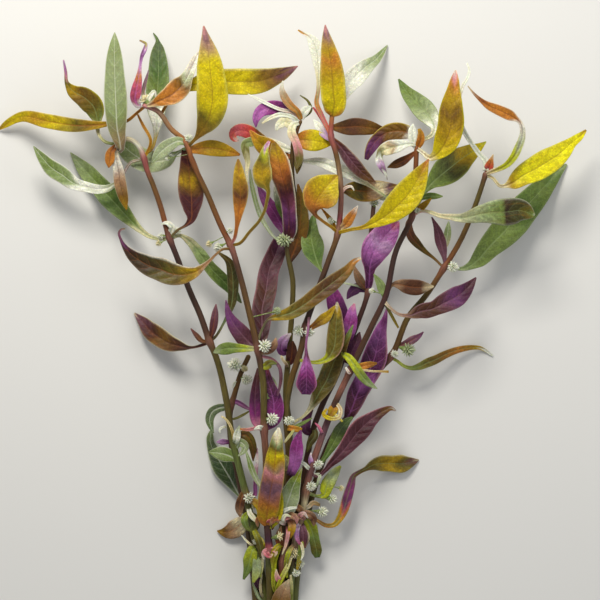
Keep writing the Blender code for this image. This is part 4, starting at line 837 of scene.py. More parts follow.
leaf("olive_pale_tip", "d", "olive", "0 lime, 28 lime, 38 olive, 80 olive, 88 gold, 94 cream, 100 white",
     (3, 3, 4.5, 8, 15, 18, 17.5, 14, 9, 1.5), (297, 360), (307, 361.5, 22.4), (318, 362, 22.8),
     (327, 358.5, 22.8), (333, 350, 22.8), (335.5, 338, 22.8), (336, 325, 22.8), (337, 313, 22.6),
     (337, 301, 22.4), stalk=0.24, rim=("pink", 0.2, 0.8))
leaf("long_olive_brown", "d", "olive",
     "0 cream, 22 cream, 30 olive, 50 moss, 68 olive, 80 bronze, 90 leek, 100 sage",
     (3, 2.5, 3, 6, 12, 17, 19, 19.5, 18, 12, 7, 5.5, 1), (288, 432), (295, 422, 17.4), (303, 417, 17.6),
     (310, 409, 17.6), (316, 399, 17.4), (321, 390, 17.2), (327, 380, 17.2), (331, 370, 17.2),
     (335, 360, 17.4), (342, 350, 18.6), (347, 339, 19.6), (353, 325, 20.6), stalk=0.24,
     rim=("tan", 0.2, 0.8))
leaf("magenta_teardrop", "d", "magenta",
     "0 tan, 20 dusk, 50 mauve, 60 orchid, 72 magenta, 85 plum, 100 purple",
     (3, 2.2, 2.2, 2.2, 4, 10, 17, 21, 9), (310, 314), (308, 330, 25.2), (306, 345, 26.4),
     (306.5, 358, 26.4), (306.5, 368, 26.2), (306.5, 380, 25.6), (306, 395, 25), stalk=0.4,
     rim=("pink", 0.6, 0.6))
leaf("front_mauve_gold", "b", "gold",
     "0 orange, 10 gold, 20 orange, 28 salmon, 35 dusk, 43 dusk, 47 salmon, 53 pink, 58 tan, 65 gold, "
     "71 yellow, 77 olive, 82 sage, 88 cream, 100 white",
     (8, 19, 22, 23, 23, 23, 22.5, 21, 19, 14, 10.5, 2), (266, 530), (266.5, 520, 15.5), (268, 508, 18),
     (270, 494, 21), (273, 478, 24), (275, 462, 26), (276, 448, 26.8), (277.5, 436, 27), (279, 427, 26.5),
     stalk=0.04, rim=("tan", 0.3, 0.3))
leaf("rolled_olive_right", "e", "olive",
     "0 rust, 10 orange, 22 gold, 27 orange, 31 rose, 35 violet, 40 magenta, 46 magenta, 52 dusk, "
     "56 bronze, 66 olive, 78 gold, 88 olive, 95 mauve, 100 cream",
     (3, 3, 4, 5, 7, 9.5, 10.5, 10, 8, 5, 4.5, 11, 16.5, 17, 19, 12, 1), (302, 519), (312, 519, 9.8),
     (319, 523, 9.2), (326, 527, 8.6), (334, 526.5, 8.2), (340, 520, 8), (344.5, 510, 8), (348, 498, 8),
     (351.5, 486, 8), (354.5, 477, 7.6), (359, 474, 7.4), (366, 470.5, 6.6), (374, 466.5, 5.4),
     (384, 465, 4), (395, 465.5, 2.8), (405, 465.5, 1.8), (413, 464, 1), (420.5, 462, 0.3), stalk=0.2,
     rim=("cream", 0.8, 0.1))
leaf("plum", "e", "plum",
     "0 maroon, 20 maroon, 40 mauve, 60 maroon, 74 mauve, 82 brown, 93 bronze, 100 white",
     (3, 3.3, 5, 8, 11.5, 15, 18.5, 21.5, 20.5, 15, 10.5, 6.5, 1.5), (310, 475), (318, 477, 15),
     (325, 471, 16), (331, 464, 17), (338, 457, 18), (345, 449, 18.4), (352, 440, 18.8), (359, 431, 19),
     (367, 423, 19), (375, 416.5, 19), (383, 411.5, 18.6), (391, 408.5, 18), (397, 411.5, 17.4), stalk=0.16,
     rim=("pink", 0.7, 0.1))
leaf("grey_green_low", "b2", "sage", "0 fern, 30 bottle, 50 bottle, 75 fern, 100 sage",
     (4, 7, 12, 17, 21, 22.5, 21, 16, 12, 8.5, 7, 1), (242, 502), (236, 493, 2.6), (230, 482, 1.6),
     (221, 467, 0.9), (213, 454, 0.5), (209, 443, 0.4), (210, 431, 0.3), stalk=0.06,
     rim=("silver", 0.7, 0.1))

# The small leaves
# Young leaves, bracts and leaf stalks too small to be pieces of their own. They grow from the nodes
# with the large leaves, and each stem's are one group.

SMALL_ROWS, SMALL_COLUMNS = 40, 13


def small_leaf(stem, finish, tints, width, base, *points, roll=(0,), fold=(10,), curl=(0,), stalk=0.1,
               under=False, rim=BARE_RIM):
    """A small leaf that starts inside its stem: a short blade with fewer rows and columns."""
    grown = STEMS[stem]
    path = smooth_path(np.vstack((grown.line[grown.nearest(base)], on_table(points))), SMALL_ROWS)
    half_width = half_widths(np.linspace(0.0, 1.0, SMALL_ROWS), width, stalk)
    part = blade(path, half_width, tints, stalk, roll, fold, curl, SMALL_WAVE, under, rim, SMALL_COLUMNS)
    return (*part, LEAF_FINISHES[finish])


# Each stem's slot and its small leaves: finish, tints, widths, base and points, as for a large leaf
for stem, slot, leaves in [
    ("a", "leaf_green", [
        ("orange", "rust, orange, orange", (4, 7, 10, 9, 1), (116, 146), (111, 153, 22.4), (110, 160, 22.2),
         (109, 168, 21.8)),
        ("orange", "cream, white, tan, bronze, gold", (3, 6, 10, 12, 12, 9, 1), (117, 146),
         (116, 155, 21.8), (118.5, 170, 20.8), (120.5, 185, 20), (124, 200, 19), (126.5, 210, 18)),
        ("gold", "gold, orange", (3, 3, 3, 3, 1.5), (144, 158), (151, 141, 22.6), (143, 125, 22.8),
         (137, 113, 22.4)),
        ("cream", "white, white", (3, 6, 6, 4, 1), (169, 236), (172, 227, 20.5), (167, 223, 21),
         (161, 224, 20.5)),
        ("brown", "brown, mauve, dusk", (3, 5, 8, 8, 6, 1), (210, 342), (212, 333, 18.5), (214, 322, 19),
         (216, 304, 19)),
        ("brown", "bronze, mauve", (3, 4, 5.5, 4, 1), (207, 344), (202, 341, 17.3), (196, 335, 17.5),
         (190.5, 328.5, 17.5)),
        ("sage", "leek, leek, sage, leek", (3, 9, 14, 15, 13, 8, 1), (237, 462), (230, 457, 12.8),
         (222, 454.5, 12), (214, 453.5, 11), (208, 453, 10.4)),
        ("yellow", "gold, cream", (2, 3, 3, 2.5, 1.5), (234, 446), (232.5, 433, 16), (229, 424, 16.5),
         (225, 419, 16.5), (221, 416.5, 16)),
        ("sage", "leek, white, sage", (3, 6, 8, 6, 1), (234, 446), (236, 441, 15.6), (237, 435, 16),
         (239.5, 426, 16)),
        ("sage", "leek, silver", (3, 4, 8, 8, 5, 1), (236, 452), (241, 443, 15.5), (245, 447, 16),
         (243, 452, 16), (238, 456.5, 15.5)),
        ("magenta", "rose, orchid, pink, white, pink", (3, 4, 4, 4, 4, 3, 1), (246, 500), (254, 497, 12),
         (255, 485, 13), (256, 470, 13.6), (257, 458, 13.6), (257, 449, 13)),
        ("olive", "olive, leek, olive", (3, 8, 10, 7, 1), (249, 515), (255, 522, 9.5), (254, 530, 9.4),
         (251, 537, 9)),
        ("cream", "white, cream", (3, 5, 5, 1), (247, 508), (250, 515, 12), (254, 520, 12.6),
         (259, 525, 12.4)),
        ("green", "leek, lime, leek, leek", (4, 9, 13, 14, 10, 6, 2), (257, 550), (252, 552, 9.6),
         (250, 560, 9), (247.5, 570, 8), (243, 582, 6.6)),
        ("green", "leek, silver, lime", (3, 7, 9, 8, 2), (258, 554), (256.5, 562, 9.4), (256.5, 571, 9),
         (253, 585, 8)),
        ("green", "lime, leek, olive", (3, 6, 7, 5, 1), (248, 512), (244, 520, 12.4), (247, 529, 12),
         (252, 533, 11.4)),
        ("cream", "tan, cream, lime", (2, 3, 3, 1.5), (253, 545), (260, 553, 9.4), (262, 566, 8.6),
         (260, 580, 7.6)),
        ("cream", "rose, cream, white", (1.5, 2, 2, 1), (254, 549), (250, 546, 9.4), (245, 541.5, 8.8),
         (241, 537, 8)),
        ("yellow", "lime, yellow, cream", (3, 6, 8, 6, 1), (256, 551), (261, 546, 10.4), (260, 541, 11.2),
         (255, 539.5, 11)),
        ("sage", "leek, sage, leek", (2, 3, 3.5, 3, 1), (264, 606), (259, 602, 3.4), (255, 593, 4),
         (251.5, 580, 4.6)),
        ("cream", "tan, cream", (2, 2.5, 2.5, 1), (264, 603), (260.5, 595, 5), (260, 586, 5.6),
         (262, 577, 6.4)),
        ("plum", "maroon, plum, brown", (3, 6, 8, 6, 1), (263, 592), (258, 588, 5), (256.5, 580, 5.6),
         (258, 571, 6.4)),
        ("olive", "lime, olive, moss", (3, 6, 7, 6, 2), (250, 530), (257, 538, 12), (260, 548, 11),
         (260, 560, 10)),
        ("gold", "tan, gold, lime", (3, 6, 7, 6, 1), (249, 505), (255, 503, 13.6), (259, 509, 14),
         (258, 518, 13.6)),
        ("brown", "bronze, brown, tan", (3, 7, 9, 8, 2), (245, 492), (241, 500, 12.6), (239, 509, 12.2),
         (240, 518, 11.6)),
        ("brown", "brown, olive, brown", (4, 9, 10, 7, 1), (232, 440), (246, 436, 14.4), (252, 446, 14),
         (253, 462, 13.2))]),
    ("b", "leaf_olive", [
        ("cream", "cream, dusk, violet", (3, 4, 4, 3, 1), (147, 107), (144, 95, 27), (149, 71, 25)),
        ("sage", "cream, white, white", (4, 5, 4, 1.5), (148, 107), (151, 98, 30), (155, 93, 29.6),
         (157, 99, 29)),
        ("sage", "sage, silver, silver, sage", (4, 9, 13, 14, 10, 1), (187, 144), (180, 142, 28.4),
         (170, 146, 27), (160, 154, 25), (152, 163, 23.6)),
        ("gold", "orange, gold, gold, orange", (6, 12, 16, 15, 10, 2), (190, 152), (200, 149, 25.6),
         (212, 148.5, 25), (226, 151, 23.6), (240, 155, 22)),
        ("mauve", "maroon, mauve, violet, violet", (3, 12, 18, 17, 14, 9, 5, 1), (258, 348),
         (248, 341, 23.2), (241, 333, 23.4), (234, 324, 23.8), (229, 314, 24), (226, 300, 24)),
        ("green", "cream, lime, leek, leek, silver", (4, 6, 8, 10, 12.5, 10, 1), (258, 350),
         (250, 348.5, 25.8), (240, 348, 25.6), (230, 348, 25), (221, 349.5, 24.2), (213.5, 352.5, 23.5)),
        ("brown", "tan, brown, tan", (4, 7, 9, 7, 1), (260, 352), (268, 350, 26.4), (274, 345, 26.6),
         (276, 337.5, 26)),
        ("mauve", "pink, dusk, mauve, dusk", (3, 3, 3.5, 3.5, 3, 1), (259, 356), (272, 359, 25),
         (279.5, 367, 25.4), (281, 378, 24.6), (279.5, 388, 23.6), (277.5, 396, 22.6)),
        ("olive", "lime, olive, leek", (3, 7, 8.5, 5, 1), (262, 366), (266, 366, 25.5), (271, 362.5, 26),
         (277, 363.5, 26)),
        ("plum", "pink, magenta, plum, maroon, brown", (6, 12, 12, 11, 9, 6, 2), (264, 430),
         (257, 420, 20.5), (255, 405, 21), (255.5, 390, 21.4), (258, 368, 21.4)),
        ("magenta", "plum, magenta, plum, mauve, rose", (5, 16, 20, 17, 12, 8, 2), (264, 428),
         (273, 417, 20.6), (274, 405, 20.8), (272, 394, 20.8), (268, 381, 20.6), (265, 362, 20.4)),
        ("orange", "pink, pink, orange", (3, 3.5, 3.5, 2), (264, 428), (257, 428, 22.6), (248, 429.5, 21.6),
         (240, 429, 20.5)),
        ("cream", "white, white", (3, 5, 4, 1), (264, 430), (259, 427, 24.6), (254, 429, 24.4)),
        ("green", "leek, silver, sage", (2, 6, 8, 6, 1), (263, 398), (271, 394, 20), (273.5, 388, 20),
         (273, 382, 20), (270, 375, 19.6)),
        ("sage", "cream, silver, leek, sage", (4, 4, 5, 6, 6, 4, 2), (266, 496), (261, 487, 17),
         (256, 479, 17.6), (252, 470, 17.8), (249, 461, 17.6), (246, 452, 17)),
        ("yellow", "lime, yellow, lime", (4, 7, 8, 6, 1), (268, 530), (276.5, 520, 16), (280, 508, 18),
         (282, 493, 19.6)),
        ("cream", "rose, pink, white", (3, 5, 4, 2.5, 1), (268, 553), (264.5, 552.5, 12), (262.6, 556, 12),
         (264, 561, 11.4)),
        ("cream", "rose, pink, cream", (3, 5, 5, 3, 1), (270, 553), (273.5, 551, 12.2), (276, 554, 12.4),
         (274.5, 558, 12)),
        ("orange", "rose, pink, rose, cream", (3, 5, 6, 5, 1), (267, 551), (266, 554.5, 12.6),
         (269.5, 557, 13.2), (273, 555.5, 12.8)),
        ("orange", "pink, rose, tan", (3, 6, 6, 4, 1), (266, 526), (271, 522, 16), (276, 520.5, 16.6),
         (279, 524, 16)),
        ("brown", "tan, rust, tan", (3, 6, 7, 5, 1), (266, 522), (262, 518, 15.4), (258, 521, 15),
         (257.5, 528, 14))]),
    ("b2", "leaf_brown", [
        ("sage", "bottle, fern, fern, green", (4, 7, 9, 10, 9, 6, 1), (231, 405), (226, 407.5, 8.8),
         (218, 409, 8.6), (211.5, 413, 8.8), (209, 420, 9), (210.5, 428, 9.2), (213, 434, 9.4)),
        ("magenta", "violet, dusk", (4, 5, 5, 4, 2), (232, 402), (238, 403.5, 9.6), (244, 407, 9.8),
         (250, 410.5, 10)),
        ("olive", "olive, olive", (2, 2.5, 2.5, 1.5), (230, 420), (236, 419, 8.6), (243, 415.5, 9),
         (249, 412, 9.2)),
        ("brown", "cream, cream, tan, bronze, gold", (6, 14, 18, 19, 17, 13, 7, 1), (246, 521),
         (242, 525, 3), (235, 531, 2.4), (228, 534.5, 1.6), (222, 535, 1), (216, 534, 0.6)),
        ("cream", "white, white", (2, 3, 3, 1.5), (238, 384), (235, 383, 10.4), (232, 389, 10)),
        ("magenta", "violet, lilac", (3, 5, 6, 1), (229, 443), (225, 443, 8.4), (221, 443, 8.6),
         (216, 443, 8.6)),
        ("cream", "white, white", (2, 2.5, 3, 1), (229, 430), (223, 428, 8.8), (219.5, 430, 9.2),
         (219.5, 434.5, 9.2))]),
    ("c", "leaf_cream", [
        ("green", "leek, leek, white", (3, 5, 7, 8, 6, 1), (291, 228), (283, 214, 14.4), (278, 200, 14.5),
         (274, 186, 14)),
        ("magenta", "violet, magenta, violet", (3, 8, 13, 14, 12, 8, 1), (289, 240), (282, 226, 11.6),
         (274, 212, 11.4), (266, 200, 10.6), (257, 184, 9.4)),
        ("sage", "sage, silver, sage, silver", (2, 2.5, 3.5, 5, 5, 5, 4, 1), (286, 242), (277, 239, 15.5),
         (266, 226, 16.5), (259, 212, 17.5), (254, 195, 18), (251, 180, 18.6), (250, 169, 19)),
        ("magenta", "plum, violet, lilac, white", (4, 9, 11, 8, 1.5), (289, 352), (282, 351, 13.5),
         (282, 344, 14.2), (286, 338, 14.4), (291, 333.5, 14.6)),
        ("brown", "maroon, brown", (4, 9, 11, 9, 2), (288, 366), (291, 359, 12.6), (292, 350, 13),
         (292.5, 341, 13.2)),
        ("brown", "umber, bronze, olive, bronze", (5, 12, 17, 18, 14, 8, 2), (292, 262), (296, 245, 15.6),
         (300, 225, 17.2), (301, 205, 18.2), (298, 184, 19.4)),
        ("orange", "tan, cream", (2, 3, 3, 2), (287, 367), (286, 364, 14.4), (283, 360, 14.6),
         (281, 356, 14.4)),
        ("orange", "rust, orange, gold, orange", (4, 8, 15, 19, 17, 9, 2), (292, 158), (283, 155, 21.6),
         (275, 151, 22.2), (266, 147, 23.4), (258, 141, 25.4), (250, 131, 26)),
        ("orange", "0 orange, 50 bronze, 60 red, 80 rose, 90 red, 100 white",
         (3, 3, 3, 4, 8, 12, 14, 13, 9, 2), (292, 160), (280, 150, 21), (268, 142, 21.6), (256, 136, 22),
         (248, 132, 22.4), (240, 130.5, 22.8), (234, 133.5, 23.2), (234, 139, 23.6), (239, 141, 24)),
        ("yellow", "rust, orange, yellow, yellow, gold", (5, 14, 20, 22, 20, 13, 2), (294, 137),
         (300, 140, 24.6), (307, 140.5, 25), (314, 141, 25), (322, 142.5, 24.4), (331, 145, 23.4)),
        ("olive", "pink, rose, olive, bronze", (4, 7, 9, 9, 7, 1), (295, 138), (297, 147, 22.4),
         (299, 157, 22), (298, 166, 21.4), (297, 174, 20.8)),
        ("magenta", "orchid, violet, magenta, orchid, violet", (4, 8, 12, 14, 14, 12, 8, 1), (300, 121),
         (291, 113, 24.4), (281, 109, 25), (270, 108.5, 25.4), (261, 112, 25.4), (256.5, 119, 25.2),
         (256, 128, 25)),
        ("cream", "pink, white, white", (4, 3.5, 3.5, 3.5, 1), (300, 120), (292, 113, 26.4),
         (281, 110.5, 26.8), (262, 102, 26.4), (248, 95, 26)),
        ("cream", "orange, orange, tan, white", (5, 6, 7, 8, 8, 5, 1), (300, 121), (297, 112, 26.8),
         (291, 107, 28), (285, 99, 28.6), (282, 90, 29), (283, 82, 29)),
        ("cream", "white, cream, white", (4, 8, 10, 9, 2), (297, 132), (291, 126, 25.4), (285, 122.5, 25.8),
         (279, 126, 25.6), (276, 131, 25.2)),
        ("cream", "white, white, cream", (3, 4, 5, 4, 1.5), (299, 124), (293, 118, 26), (280, 115.5, 26.2),
         (270, 119, 26), (262, 124, 25.6)),
        ("cream", "white, white", (4, 8, 8, 2), (301, 121), (304, 113, 25.6), (311, 107, 26)),
        ("cream", "white, cream, pink, olive, bronze", (4, 7, 9, 8, 9, 7, 1), (300, 122), (293, 126, 26),
         (291.5, 133, 26.6), (295.5, 142, 26.2), (298.5, 152, 25.6), (299, 162, 24.6), (296, 170, 23.6)),
        ("olive", "olive, olive", (2, 3, 2.5, 1), (301, 121), (311, 110, 25.4), (308, 102, 25.8),
         (300, 96, 25.8))]),
    ("d", "leaf_olive", [
        ("gold", "gold, orange", (3, 4, 5, 3, 1), (337, 232), (331, 221, 24), (326, 214, 23.4),
         (321, 208, 22.6)),
        ("orange", "cream, orange, orange, white", (4, 6, 10, 9, 6, 1), (339, 231), (346, 224, 26.4),
         (350, 218, 26.8), (354, 212, 27), (357.5, 206, 27)),
        ("cream", "violet, lilac, white, white", (4, 7, 9, 7, 1), (331, 140), (326, 136, 25.2),
         (320, 129, 25), (313.5, 120, 24)),
        ("orange", "red, red, rose", (3, 3, 3, 2), (331, 137), (325, 126, 26), (319, 116, 25.8),
         (313, 108, 25.4)),
        ("brown", "bronze, brown, bronze, umber", (4, 12, 17, 17, 14, 8, 1), (334, 128), (345, 128, 25),
         (357, 127, 23.8), (369, 128, 22.4), (380, 129.5, 21), (390, 131, 20)),
        ("cream", "pink, white", (3, 3, 2.5, 1), (341, 192), (346, 188, 26), (351, 187, 26.2),
         (354, 191, 26)),
        ("orange", "orange, bronze, gold, gold", (3, 5, 8, 11, 7, 2), (305, 329), (312, 327, 22.4),
         (319, 322, 23.2), (326, 317, 23.6), (335, 306, 24)),
        ("olive", "lime, cream, lime", (3, 7, 9, 6, 1), (289, 470), (286, 466, 18), (288, 461, 18.8),
         (285, 455, 18.8)),
        ("gold", "gold, orange, gold", (6, 6, 6, 6, 4), (284, 428), (290, 428, 20.8), (296, 429, 21),
         (302, 430, 21)),
        ("green", "cream, leek, leek", (2, 4, 4, 3, 1), (287, 430), (299, 425, 20), (305, 422, 20.2),
         (312, 418, 20.2)),
        ("olive", "lime, cream", (2, 3, 3, 3, 1.5), (287, 427), (293, 431, 21.4), (289, 436.5, 21),
         (284, 443, 20.4)),
        ("magenta", "plum, violet, orchid, orchid, magenta, magenta, plum", (5, 8, 10, 12, 13.5, 13, 8, 2),
         (289, 478), (292, 471, 19.5), (295, 462, 21), (296.5, 451, 22.2), (297.5, 441, 22.6),
         (301, 430, 22.4)),
        # This leaf's white and silver foot is painted highlight.
        ("sage", "white, white, silver, silver, sage, leek, lime, cream", (5, 13, 19, 21, 20, 16, 12, 6, 1),
         (287, 520), (285, 513, 14.6), (287, 505, 15.4), (290, 496, 16), (293, 487, 16.8),
         (297.5, 477, 17.4), (302, 468, 17.8)),
        ("cream", "white, white", (3, 4, 4, 2), (286, 520), (283, 512, 16.6), (289, 509, 17),
         (297, 508, 16.6)),
        ("yellow", "leek, lime, lime", (3, 4, 5, 5, 3), (279.5, 602), (274, 591, 8), (273.5, 576, 9),
         (274.5, 562, 9.8), (280, 549, 10.6)),
        ("yellow", "leek, lime, cream", (3, 4, 5, 5, 3), (280, 606), (277, 593, 8.4), (283, 577, 9.8),
         (288, 567, 10.6), (291, 559, 10.8)),
        ("brown", "tan, tan, bronze, tan, cream", (14, 18, 20, 20, 17, 10, 1), (279.5, 629),
         (280, 616, 8.6), (281, 603, 9), (284, 592, 9.8), (289, 581, 10.8)),
        ("brown", "pink, tan, brown", (4, 8, 9, 6, 1), (288, 512), (279, 516, 14.6), (274, 523, 14.4),
         (272, 531, 13.4)),
        ("gold", "pink, gold, rust", (4, 7, 8, 5, 1), (289, 518), (292, 526, 14), (290, 536, 13.4),
         (286, 543, 12)),
        ("orange", "pink, tan, rust, tan", (3, 5, 6, 5, 1), (286, 524), (279, 519, 16.4), (273, 520, 16.8),
         (270, 526, 16)),
        ("cream", "rose, pink, cream", (3, 4, 3, 1), (287, 526), (288, 534, 14.2), (286, 545, 13.2),
         (282, 556, 12)),
        ("olive", "lime, gold, lime", (3, 5, 5, 3, 1), (284, 545), (276, 549, 12.4), (272, 558, 11.6),
         (272, 571, 10.4)),
        ("brown", "brown, rust, tan", (3, 6, 8, 6, 1), (285, 552), (280, 546, 11), (279, 537, 12),
         (281, 527, 13)),
        ("orange", "tan, pink, cream", (3, 5, 6, 4, 1), (282, 586), (278.5, 582, 9.4), (276.5, 577, 10),
         (276, 571, 10)),
        ("cream", "pink, white, cream", (3, 5, 6, 4, 1), (286, 526), (282, 520, 16.4), (286, 515.5, 17.4),
         (291, 517, 17)),
        ("orange", "orange, tan, pink", (3, 6, 7, 5, 1), (287, 520), (292, 516, 15.6), (296, 519, 15.6),
         (297, 525, 14.6))]),
    ("e", "leaf_green", [
        ("brown", "rust, brown, bronze", (3, 6, 9, 8, 1), (416, 152), (402, 162, 28), (387, 168, 26)),
        ("cream", "white, white", (5, 8, 9, 8, 1), (416, 149), (412.5, 142, 30.8), (411.5, 134, 31.4),
         (412, 125, 31.5)),
        ("orange", "orange, orange, gold", (5, 8, 7, 3), (416, 148), (419.5, 142, 31.4), (420, 136, 31.8),
         (418, 130, 31.8)),
        ("green", "green, leek", (3, 5, 7, 6, 1), (412, 200), (426, 197, 28.5), (442, 197, 29)),
        ("gold", "bronze, gold", (3, 6, 7, 5, 1), (413, 213), (420, 208.5, 29.6), (425, 204, 30.2),
         (430.5, 199, 30.5)),
        ("olive", "olive, gold", (2.5, 3, 3, 2), (384, 302), (389, 311, 23), (394, 320, 21),
         (398.5, 328, 19)),
        ("green", "leek, sage, leek", (3, 6, 9, 8, 5, 1), (384, 299), (382.5, 291, 23), (380, 284, 22.8),
         (377, 279, 22.4), (373.5, 274, 22)),
        ("brown", "rust, tan, brown, brown, cream", (3, 3, 3, 9, 14, 16, 15, 9, 1), (384, 299),
         (388.5, 291, 23.4), (392, 285, 23.2), (399, 284.5, 22.8), (407, 286.5, 22.4), (416, 287.5, 22),
         (425, 287, 21.6), (434, 286.5, 21)),
        ("gold", "cream, cream, gold", (2, 2, 2, 2, 2.6), (351, 370), (364, 370, 24.4), (372, 371, 24.6),
         (380, 371.2, 24.4), (388.5, 371.5, 24)),
        ("gold", "gold, orange, bronze", (3, 6, 7, 6, 1.5), (352, 368), (362, 366, 23.8), (369, 364.5, 24),
         (377, 363, 23.6)),
        ("cream", "pink, white", (2, 3, 3, 2), (351, 370), (349, 372.5, 23.6), (345.5, 367, 24)),
        ("green", "cream, lime, lime, silver, lime", (3, 3, 4, 11, 13.5, 12.5, 9, 2), (306, 493),
         (316, 497, 11.5), (323.5, 496.5, 12.4), (327, 487, 13), (332, 478, 13.4), (337, 471, 13.6),
         (341, 466.5, 13.6)),
        ("cream", "white, sage", (2, 3, 3, 1), (310, 476), (320, 476, 15.6), (318.5, 481, 15.4),
         (316.5, 487, 15)),
        ("gold", "cream, cream, yellow, gold", (3, 4, 4, 4, 4, 2), (335, 402), (340.5, 410, 21.4),
         (339, 417, 22), (331, 418.5, 22.2), (323.5, 414, 22), (327, 408.5, 21.6)),
        ("gold", "orange, gold, bronze", (4, 9, 10, 7, 2), (335, 404), (333, 410, 20.6), (331, 414, 20.8),
         (328, 417, 21)),
        ("cream", "cream, yellow", (2, 2.5, 2), (332, 410), (338, 417, 21.8), (342.5, 421.5, 21.4)),
        ("magenta", "pink, rose", (3, 3.5, 3, 1), (323, 436), (321, 431, 19.4), (318.5, 426.5, 19.4),
         (315, 423, 19)),
        ("magenta", "orchid, lilac, white", (3, 5, 5, 3, 1), (313, 466), (311, 462, 16.6),
         (310.5, 458, 16.8), (311, 453, 16.6)),
        ("cream", "white, white", (3, 4, 4, 3), (312, 471), (307, 467, 16.8), (303, 463.5, 17.2),
         (299, 463, 17.2)),
        ("green", "leek, green, leek, fern, green", (3, 4, 6, 9, 11.5, 12.5, 9, 2), (313, 464),
         (320, 464, 14.4), (325, 458, 14.6), (330, 450, 14.8), (335, 441, 15), (340, 431, 15.2),
         (347, 422, 15.4), (353, 417.5, 15.4)),
        ("green", "lime, lime, leek, olive, green", (3, 8, 13, 12, 11, 11, 11, 5), (303, 519),
         (309, 525, 9.6), (312, 532, 8.8), (314, 540, 8), (316, 549, 7), (317.5, 560, 5.6)),
        ("cream", "white, tan, bronze", (3, 4, 5, 3), (303, 512), (309, 507.5, 12.6), (313, 504, 13),
         (320, 506, 12.8)),
        ("orange", "pink, tan, pink, tan", (3, 4, 5, 4, 2), (302, 521), (304, 520, 12.2), (295, 516.5, 14),
         (284, 520, 14.4), (276, 525, 14)),
        ("cream", "rose, pink, white", (3, 5, 5, 3, 1), (303, 520), (300, 516.5, 14), (303.5, 514, 14.8),
         (308, 519, 13.8)),
        ("brown", "tan, cream, tan", (3, 5, 6, 4, 1), (299, 530), (305, 533, 11), (307, 541, 10),
         (305, 550, 9)),
        ("olive", "lime, cream", (3, 3, 3, 2), (289.5, 604), (291.5, 589, 7.8), (290.5, 577, 8.8)),
        ("brown", "pink, tan, brown, tan", (4, 7, 8, 7, 2), (302, 518), (308, 515, 13), (313, 519, 12.6),
         (314, 527, 11.4)),
        ("gold", "pink, tan, rust, tan", (4, 6, 6, 2), (303, 516), (299, 509, 14.4), (293, 506, 15),
         (286, 509, 15)),
        ("olive", "lime, leek, gold", (3, 5, 6, 5, 2), (298, 535), (301, 545, 10.8), (300, 558, 9.8),
         (297, 572, 9)),
        ("olive", "pink, lime, olive, lime", (3, 5, 5, 4, 2), (296, 545), (289, 553, 11.6),
         (286, 566, 10.6), (287, 580, 9.4)),
        ("cream", "pink, cream, white", (2, 3, 3, 1), (297, 540), (302, 548, 11.6), (303, 556, 11),
         (301, 562, 11)),
        ("mauve", "dusk, mauve, rust", (4, 8, 9, 6, 1), (300, 524), (303, 533, 11.6), (303, 544, 10.6),
         (299, 556, 9.6)),
        ("magenta", "white, lilac, rose", (3, 5, 5, 2), (300, 522), (297, 530, 13), (297, 539, 12.4),
         (300, 546, 11.6))]),
    ("f", "leaf_magenta", [
        ("cream", "sage, white, pink", 14, (374, 199), (385, 192, 12.6), (390, 184, 12)),
        ("magenta", "plum, magenta, violet, magenta, plum", (4, 12, 17, 19, 18, 13, 2), (352, 338),
         (344, 328, 14.6), (340, 316, 15), (336, 304, 15), (333, 292, 15), (333, 282, 15)),
        ("magenta", "violet, magenta, orchid, magenta, orchid, pink", (3, 10, 14, 15, 13, 9, 2), (348, 346),
         (347, 336, 16.6), (349, 328, 17.6), (351, 320, 18.2), (352, 312, 18.6), (354.5, 303.5, 18.6)),
        ("plum", "maroon, plum, maroon", (4, 11, 15, 13, 9, 1), (345, 356), (349, 359, 14.6),
         (353, 350, 15.2), (357, 341, 15.2), (360, 332, 15)),
        ("plum", "purple, violet", (3, 8, 11, 8, 1), (367, 290), (358, 288, 15), (352, 292, 15),
         (347, 299, 15)),
        ("brown", "brown, tan", (2, 7, 9, 6, 1), (368, 290), (361, 282, 16.4), (357, 274, 17),
         (354, 265, 17)),
        ("sage", "sage, silver", (2, 2, 2, 1.5), (368, 290), (358, 286, 16), (351, 284.5, 16.6),
         (344, 283, 16.6)),
        ("green", "cream, lime, lime, leek, silver", (3, 3, 5, 8, 9, 9, 7, 1), (347, 350), (343.5, 354, 20),
         (349, 358, 23.4), (355, 366, 24.2), (361, 375, 24.4), (368, 382.5, 24.2), (377, 388.5, 23.8)),
        ("olive", "olive, moss, olive", (3, 6, 8, 6, 1), (314, 428), (315, 436, 10.5), (310, 444, 11),
         (307, 453, 11)),
        ("plum", "plum, violet, maroon", (3, 8, 10, 7, 1), (312, 436), (306, 430, 11.6), (307, 420, 12),
         (313, 410, 12.4))]),
    ("g", "leaf_brown", [
        ("brown", "olive, olive, brown, bronze", (2.5, 2.5, 3.5, 6, 9, 9, 7, 3), (444, 268), (434, 258, 17),
         (425, 251, 17), (417, 243, 16.6), (411, 235, 16.4), (409, 225, 16.2), (412, 215, 16)),
        ("mauve", "dusk, mauve, mauve", (3, 5, 9, 11, 9, 5, 1), (446, 264), (443, 251, 20.6),
         (440, 240, 21.4), (437, 229, 22), (431.5, 217, 22)),
        ("sage", "cream, cream, sage, sage", (3, 3, 4, 7, 8, 6, 1), (447, 262), (443.5, 252, 17.4),
         (446, 243, 17.4), (448, 232, 17.2), (449, 221, 16.6)),
        ("orange", "pink, red, orange, cream", (6, 9, 8, 4, 1), (486, 173), (488, 168, 25.4),
         (490, 162, 25.8), (492.5, 155, 25.8)),
        ("brown", "mauve, dusk, violet", (3, 6, 8, 8, 5, 1), (396, 347), (406, 344, 13.8), (413, 340, 14),
         (419, 336.5, 14.2), (424, 332, 14.4))]),
]:
    add_piece(f"small_leaves_{stem}", [small_leaf(stem, *leaf_row) for leaf_row in leaves])

